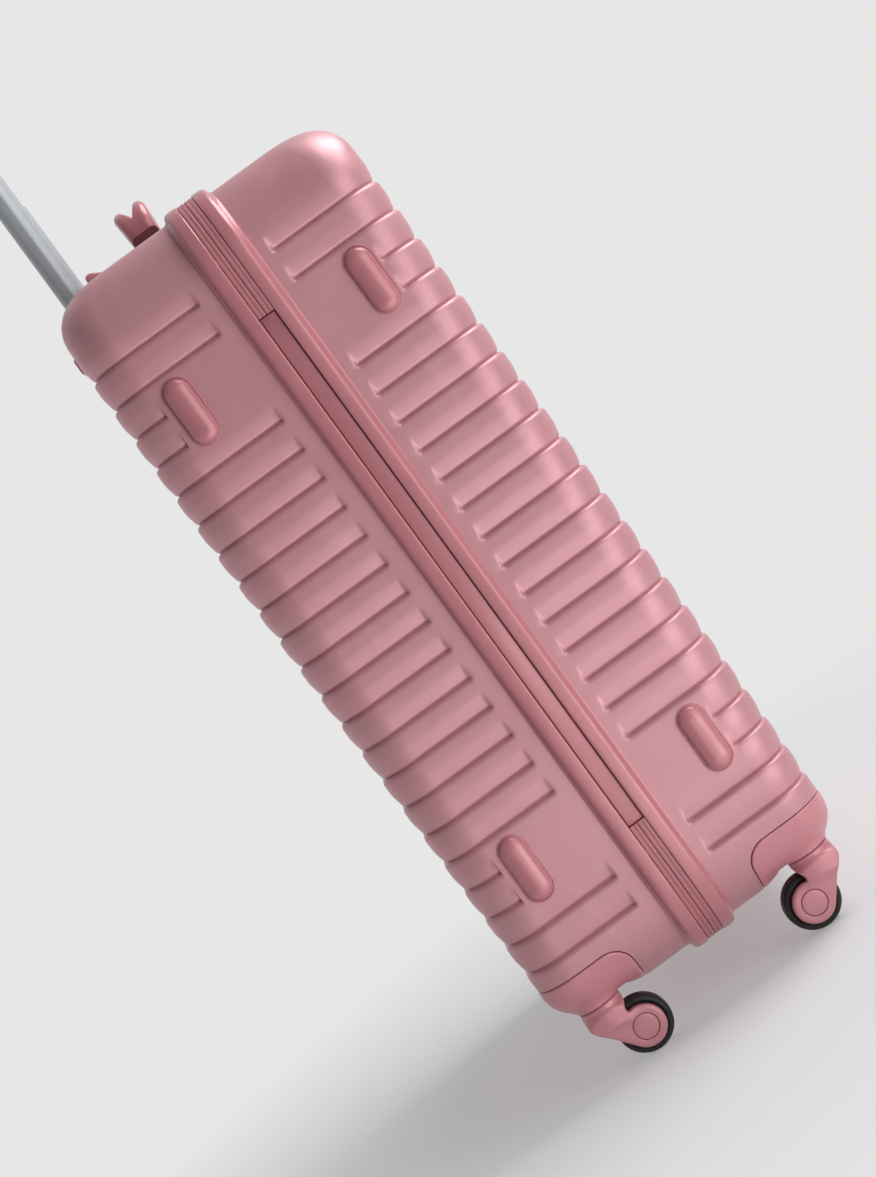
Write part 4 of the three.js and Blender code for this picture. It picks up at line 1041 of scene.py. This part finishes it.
def make_carry_handle(name, side_on):
    low, high = case_box(f"{name}_handle")
    anchor_low = np.minimum(case_box(f"{name}_handle_anchor_a")[0], case_box(f"{name}_handle_anchor_b")[0])
    x, y, z = (low + high) / 2
    base = (anchor_low[0], y, z) if side_on else (x, y, anchor_low[2])
    crest = high[0] - base[0] if side_on else high[2] - base[2]
    arch = place_handle(f"{name}_handle_arch", side_on, base, handle_field(crest + 3.5), (-93, -16, 1.5),
                        (93, 16, crest + 4.5), 0.75)
    finish_piece(arch, TRIM, f"{name}_handle", "trim", f"{name}_handle", sharp=60)
    for end, letter in ((-1, "a"), (1, "b")):
        node = f"{name}_handle_anchor_{letter}"
        middle, face = end * ANCHOR_MIDDLE, end * HANDLE_LEG
        span = (middle - 11, -19, -0.2), (middle + 11, 19, ANCHOR_HEIGHT + 1)
        anchor = place_handle(f"{node}_socket", side_on, base, anchor_field(end), *span, 0.6)
        finish_piece(anchor, TRIM, "rear_case", "trim", node, sharp=50)
        # A thin dark oval on the end face of each leg: painted shade where the leg's end is in shadow.
        span = (face - 1, -13.5, 8), (face + 1, 13.5, 19)
        plug = place_handle(f"{name}_handle_painted_shade_{letter}", side_on, base, plug_field(end), *span, 0.35)
        finish_piece(plug, SHADE_PATCH_PLASTIC, f"{name}_handle", "trim")


# ---- Lock and zip sliders ------------------------------------------------------------------------


def make_lock():
    low, high = case_box("lock_body")
    dials = [case_box(f"lock_dial_{i}") for i in (1, 2, 3)]
    slide_low, slide_high = case_box("lock_release")
    middle = (low + high) / 2

    def field(x, y, z):
        plate = rect_distance(y, z, low[1:], high[1:], 7.0)
        plate = smooth_max(smooth_max(plate, x - high[0], 2.4), low[0] - x, 0.3)
        frame_line = np.abs(rect_distance(y, z, low[1:] + 3.4, high[1:] - 3.4, 4.5)) - 0.3
        plate = smooth_max(plate, -np.maximum(frame_line, high[0] - 0.5 - x), 0.4)
        for dial_low, dial_high in dials:
            window = box_distance(x, y, z, dial_low - 0.5, dial_high + (8.0, 0.5, 0.5), 0.8)
            plate = smooth_max(plate, -window, 0.5)
        for dz in (-SLIDER_Z, SLIDER_Z):
            notch = box_distance(x, y, z, (high[0] - 3.6, high[1] - 5, middle[2] + dz - 4.5),
                                 (high[0] + 6, high[1] + 6, middle[2] + dz + 4.5), 1.0)
            plate = smooth_max(plate, -notch, 0.6)
        well = box_distance(x, y, z, slide_low - (0.3, 3.6, 0.4),
                            (high[0] + 6, slide_high[1] + 0.4, slide_high[2] + 0.4), 0.8)
        return smooth_max(plate, -well, 0.4)

    lock = carve("lock_body_plate", low, high, 0.45, field)
    finish_piece(lock, STEEL, "front_case", "steel", "lock_body", sharp=50)
    for i, (dial_low, dial_high) in enumerate(dials, 1):
        make_dial(i, dial_low, dial_high)


def make_release():
    """The lock's release slide, with grip grooves across its face."""
    low, high = case_box("lock_release")

    def field(x, y, z):
        bar = box_distance(x, y, z, low, high, 0.9)
        grooves = np.maximum(0.45 - np.abs((y - low[1]) % 1.6 - 0.8), high[0] - 0.5 - x)
        return smooth_max(bar, -grooves, 0.2)

    slide = carve("lock_release_slide", low, high, 0.3, field)
    finish_piece(slide, STEEL, "lock_release", "steel", "lock_release", sharp=50)


def make_dial(number, low, high):
    """A knurled dial with ten raised figures round it."""
    middle = (low + high) / 2
    radius, half = (high[1] - low[1]) / 2, (high[2] - low[2]) / 2

    def field(x, y, z):
        a, b = x - middle[0], y - middle[1]
        spoke = np.hypot(a, b)
        angle = np.arctan2(b, a)
        flute = 0.34 * np.exp(-np.square(np.sin(5 * angle) / 0.32))
        body = smooth_max(spoke - radius + flute, np.abs(z - middle[2]) - half, 0.7)
        return np.maximum(body, 1.7 - spoke)

    dial = carve(f"lock_dial_{number}_wheel", low, high, 0.26, field)
    finish_piece(dial, GREY, f"dial_{number}", "hub", f"lock_dial_{number}", sharp=50)
    for figure in range(10):
        angle = 2 * math.pi * (figure + 0.5) / 10
        make_figure(number, figure, middle, radius, angle)


def make_figure(number, figure, middle, radius, angle):
    curve = bpy.data.curves.new("figure", "FONT")
    curve.body = str(figure)
    curve.size = 3.2 * MM
    curve.extrude = 0.06 * MM
    curve.align_x, curve.align_y = "CENTER", "CENTER"
    text = bpy.data.objects.new("figure", curve)
    mesh = bpy.data.meshes.new_from_object(text)
    obj = bpy.data.objects.new(f"lock_dial_{number}_figure_{figure}", mesh)
    bpy.data.objects.remove(text)
    bpy.context.scene.collection.objects.link(obj)
    out = Vector((math.cos(angle), math.sin(angle), 0))
    up = Vector((0, 0, 1))
    turn = Matrix((up.cross(out), up, out)).transposed().to_4x4()
    place = at_case(*middle) + out * (radius + 0.02) * MM
    mesh.transform(Matrix.Translation(place) @ turn)
    finish_piece(obj, CHALK, f"dial_{number}", "steel")


# ---- Inside --------------------------------------------------------------------------------------


def lining_solid(name, side, inset, margin):
    """What a lining encloses, pulled in by a margin."""
    start = LINING_NEAR - (4.0 if margin > 0 else 0.0)
    solid = smooth_solid(name, side, inset + margin, start)
    depth = LINING_DEPTHS[side] - margin
    far = sorted((side * depth, side * 300.0))
    cutters = [box_solid("beyond", (-400, far[0], -50), (400, far[1], 900))]
    cutters += [housing_block("corner", hand, side, 1.2 + margin) for hand in HANDS]
    if side > 0:
        cutters.append(cup_block("cup", 1.6 + margin))
    return cut_away(solid, cutters)


def make_lining(side):
    name = NAMES[side]
    lining = lining_solid(f"{name}_lining_cloth", side, SHELL_WALL + 0.4, 0.0)
    cut_away(lining, [lining_solid("room", side, SHELL_WALL + 0.4, LINING_THICK)])
    finish_piece(lining, LINING, f"{name}_case", "lining", f"{name}_lining", sharp=30)
    make_piping(side)


def make_piping(side):
    """A round binding along the edge of the lining."""
    inset = SHELL_WALL + CROWN + 2.0
    rings = []
    for (x, z), (ox, oz) in case_path():
        ring = []
        for a, b in arc(0, 0, 1.5, 0, 330, 11):
            ring.append((x - (inset - a) * ox, side * (LINING_NEAR - 1.0 + b), z - (inset - a) * oz))
        rings.append(ring)
    piping = loft(f"{NAMES[side]}_lining_piping", rings, closed=True)
    finish_piece(piping, WEBBING, f"{NAMES[side]}_case", "lining", sharp=60)


def band_between(name, start, end, width, thick, near):
    """A flat strap with soft edges from one point to another, in a plane at near from the zip."""
    start, end = np.array(start, float), np.array(end, float)
    along = (end - start) / np.linalg.norm(end - start)
    across = np.array([-along[1], along[0]])
    rings = []
    for i in range(41):
        middle = start + (end - start) * i / 40
        sag = 1.2 * math.sin(math.pi * i / 40)
        ring = [(*(middle + across * a), near + sag + b)
                for a, b in rounded_rect(-width / 2, width / 2, 0, thick, thick / 2 - 0.05, 3)]
        rings.append([(x, y, z) for x, z, y in ring])
    return loft(name, rings)


def make_straps():
    low, high = case_box("packing_straps")
    lift = STRAP_WIDTH / 2 * 0.75
    ends = ((low[2] + lift, high[2] - lift), (high[2] - lift, low[2] + lift))
    for i, (z0, z1) in enumerate(ends, 1):
        strap = band_between(f"packing_strap_{i}", (low[0] + 6, z0), (high[0] - 6, z1), STRAP_WIDTH, 1.6,
                             low[1] + 0.2 + 1.7 * (i - 1))
        nodes = ("packing_straps",) if i == 1 else ()
        finish_piece(strap, WEBBING, "rear_case", "strap", *nodes, sharp=60)


def make_buckle():
    """The buckle where the straps cross: a plate with two slots and a groove round its middle."""
    low, high = case_box("packing_straps")
    middle = (low[2] + high[2]) / 2

    def field(x, y, z):
        up = z - middle
        plate = rect_distance(x, up, (-24.0, -18.0), (24.0, 18.0), 6.5)
        plate = smooth_max(plate, np.abs(y - low[1] - 3.2) - 3.0, 1.6)
        for slot in (-17, 17):
            hole = rect_distance(x, up, (slot - 2.5, -10.0), (slot + 2.5, 10.0), 2.2)
            plate = smooth_max(plate, -hole, 0.8)
        ring = np.abs(rect_distance(x, up, (-11.0, -12.0), (11.0, 12.0), 5.0)) - 0.5
        return smooth_max(plate, -np.maximum(ring, y - low[1] - 1.0), 0.4)

    corners = (-25, low[1], middle - 19), (25, low[1] + 7, middle + 19)
    buckle = carve("packing_strap_buckle", *corners, 0.5, field)
    finish_piece(buckle, GREY, "rear_case", "strap", sharp=50)


def make_pocket():
    """A cloth pocket on the front lining: a thin panel that bellies slightly."""
    low, high = case_box("front_pocket")
    count = 48
    face = high[1]
    xs = np.linspace(low[0] + 1, high[0] - 1, count)
    zs = np.linspace(low[2] + 1, high[2] - 1, count)
    points, faces = [], []
    for layer in (0.0, -1.0):
        for z in zs:
            for x in xs:
                u = 2 * (x - low[0]) / (high[0] - low[0]) - 1
                v = 2 * (z - low[2]) / (high[2] - low[2]) - 1
                belly = (1 - u * u) * (1 - v * v)
                ripple = 0.5 * math.sin(9 * u + 4 * v) * math.sin(5 * v + 1) * (1 - u**4) * (1 - v**4)
                points.append((x, face - 1 + layer + 3.2 * belly + ripple, z))
    for layer in (0, 1):
        for i in range(count - 1):
            for j in range(count - 1):
                a = layer * count * count + i * count + j
                faces.append((a, a + 1, a + count + 1, a + count))
    rim = ([j for j in range(count)] + [i * count + count - 1 for i in range(1, count)]
           + [(count - 1) * count + j for j in range(count - 2, -1, -1)]
           + [i * count for i in range(count - 2, 0, -1)])
    for a, b in zip(rim, rim[1:] + rim[:1]):
        faces.append((a, b, b + count * count, a + count * count))
    panel = mesh_object("front_pocket_panel", points, faces)
    finish_piece(panel, LINING, "front_case", "lining", "front_pocket", sharp=60)
    trims = pocket_trims(low, high, face)


def pocket_trims(low, high, face):
    """The binding round the pocket and the zip across its top."""
    outline = rounded_rect(low[0] + 1, high[0] - 1, low[2] + 1, high[2] - 1, 8.0, 6)
    rings = []
    for x, z in outline:
        away = np.array([x - np.clip(x, low[0] + 9, high[0] - 9), z - np.clip(z, low[2] + 9, high[2] - 9)])
        away = away / (np.linalg.norm(away) or 1)
        rings.append([(x + a * away[0], face - 0.6 + b, z + a * away[1])
                      for a, b in rounded_rect(-4, 1, -1.2, 1.4, 0.9, 3)])
    binding = loft("front_pocket_binding", rings, closed=True)
    finish_piece(binding, WEBBING, "front_case", "lining", sharp=60)
    z = high[2] - 22
    section = ribs(-5, 5, 0.0, 1.0, 3)[::-1] + [(-5, -1.4), (5, -1.4)]
    rings = []
    for x in np.linspace(low[0] + 8, high[0] - 8, 40):
        u = 2 * (x - low[0]) / (high[0] - low[0]) - 1
        belly = 1.5 * (1 - u * u)
        rings.append([(x, face + belly + b, z + a) for a, b in section])
    zipper = loft("front_pocket_zip", rings)
    finish_piece(zipper, WEBBING, "front_case", "zip", sharp=60)
    return [binding, zipper]


# ---- Stage, light and camera ---------------------------------------------------------------------

BACKGROUND = (0.799, 0.799, 0.797)
FLOOR_GLOW = 0.36
PHOTO_ROLL = math.radians(36.1)
CAMERA_DISTANCE = 2000.0
CAMERA_PITCH = math.radians(2.95)
CAMERA_YAW = math.radians(0.61)
CAMERA_LENS = 77.93
AIM = (-HALF_WIDTH, 17.7, 408.9)
FLOOR_RADIUS = 3000.0
BRIGHT_SIDE = Vector((0.75, 0.2, -0.62)).normalized()


def make_camera():
    back = Vector((-math.cos(CAMERA_YAW) * math.cos(CAMERA_PITCH),
                   math.sin(CAMERA_YAW) * math.cos(CAMERA_PITCH), math.sin(CAMERA_PITCH)))
    right = Vector((0, 0, 1)).cross(back).normalized()
    up = back.cross(right)
    tilted_right = right * math.cos(PHOTO_ROLL) - up * math.sin(PHOTO_ROLL)
    tilted_up = right * math.sin(PHOTO_ROLL) + up * math.cos(PHOTO_ROLL)
    data = bpy.data.cameras.new("camera")
    data.lens = CAMERA_LENS
    data.clip_end = 50
    camera = bpy.data.objects.new("camera", data)
    bpy.context.scene.collection.objects.link(camera)
    turn = Matrix((tilted_right, tilted_up, back)).transposed().to_4x4()
    camera.matrix_world = Matrix.Translation(at_case(*AIM) + back * CAMERA_DISTANCE * MM) @ turn
    bpy.context.scene.camera = camera


def area_light(name, direction, distance, size, power):
    """A soft box that faces the middle of the case."""
    data = bpy.data.lights.new(name, "AREA")
    data.shape = "RECTANGLE"
    data.size, data.size_y = size
    data.energy = power
    light = bpy.data.objects.new(name, data)
    bpy.context.scene.collection.objects.link(light)
    middle = at_case(0, 0, MIDDLE_Z)
    way = Vector(direction).normalized()
    light.location = middle + way * distance
    light.rotation_euler = way.to_track_quat("Z", "Y").to_euler()


def mix_shaders(tree, share, first, second):
    return add_node(tree, "ShaderNodeMixShader", {0: share, 1: first, 2: second}).outputs[0]


def make_world():
    """An even pale backdrop for the camera, and a studio that is brighter behind and below."""
    world = bpy.data.worlds.new("studio")
    bpy.context.scene.world = world
    world.use_nodes = True
    tree = world.node_tree
    tree.nodes.clear()
    sight = add_node(tree, "ShaderNodeTexCoord").outputs["Generated"]
    toward = add_node(tree, "ShaderNodeVectorMath", {0: sight, 1: BRIGHT_SIDE}, operation="DOT_PRODUCT")
    share = add_node(tree, "ShaderNodeMapRange", From_Min=-1.0, Value=toward.outputs["Value"])
    room = ramp(tree, share.outputs["Result"], 0.16, 0.84, 0.2, 0.85)
    studio = add_node(tree, "ShaderNodeBackground", Color=room).outputs[0]
    backdrop = add_node(tree, "ShaderNodeBackground", Color=(*BACKGROUND, 1)).outputs[0]
    seen = add_node(tree, "ShaderNodeLightPath").outputs["Is Camera Ray"]
    add_node(tree, "ShaderNodeOutputWorld", Surface=mix_shaders(tree, seen, studio, backdrop))


def make_floor():
    """A pale disc that fades into the backdrop, and can't be seen from below."""
    edge = arc(0, 0, FLOOR_RADIUS, 0, 360, 96)[:-1]
    floor = mesh_object("floor", [(x, y, -0.3) for x, y in edge], [tuple(range(len(edge)))])
    material, tree, shader = new_material("pale_floor", Roughness=0.9, Specular_IOR_Level=0.1)
    feed(tree, shader, Base_Color=patches(tree, 3.0, 3.0, (0.70, 0.70, 0.715), (0.72, 0.72, 0.73)))
    place = add_node(tree, "ShaderNodeTexCoord").outputs["Object"]
    length = add_node(tree, "ShaderNodeVectorMath", {0: place}, operation="LENGTH").outputs["Value"]
    fade = ramp(tree, length, 0.0, 1.0, 0.28, 0.95)
    below = add_node(tree, "ShaderNodeNewGeometry").outputs["Backfacing"]
    hidden = add_node(tree, "ShaderNodeMath", {0: fade, 1: below}, operation="MAXIMUM").outputs[0]
    glow = add_node(tree, "ShaderNodeEmission", Color=(*BACKGROUND, 1), Strength=1.0).outputs[0]
    clear = add_node(tree, "ShaderNodeBsdfTransparent").outputs[0]
    lifted = mix_shaders(tree, FLOOR_GLOW, shader.outputs[0], glow)
    feed(tree, tree.nodes["Material Output"], Surface=mix_shaders(tree, hidden, lifted, clear))
    floor.data.materials.append(material)


def make_stage():
    make_world()
    make_floor()
    area_light("key", (-0.80, -0.60, 0.10), 2.2, (1.6, 2.2), 22)
    area_light("overhead", (0.05, -0.62, 0.78), 2.0, (1.6, 1.2), 39)
    area_light("bounce", (-0.72, -0.28, -0.62), 1.25, (1.2, 1.2), 10)
    bpy.context.scene.view_settings.view_transform = "Standard"


# ---- Everything ----------------------------------------------------------------------------------

make_camera()
make_stage()
for side in NAMES:
    make_shell(side)
    make_lining(side)
    for hand in HANDS:
        make_caster(side, hand)
make_rims()
make_zip()
make_feet()
make_tubes()
dress_node("trolley_foot", GREY, 1.2)
make_cup()
make_grip()
make_button()
make_carry_handle("top", side_on=False)
make_carry_handle("side", side_on=True)
make_lock()
make_release()
for level in ("upper", "lower"):
    dress_node(f"{level}_zip_slider", STEEL, 0.45)
    dress_node(f"{level}_zip_pull", STEEL, 0.45)
make_straps()
make_buckle()
make_pocket()
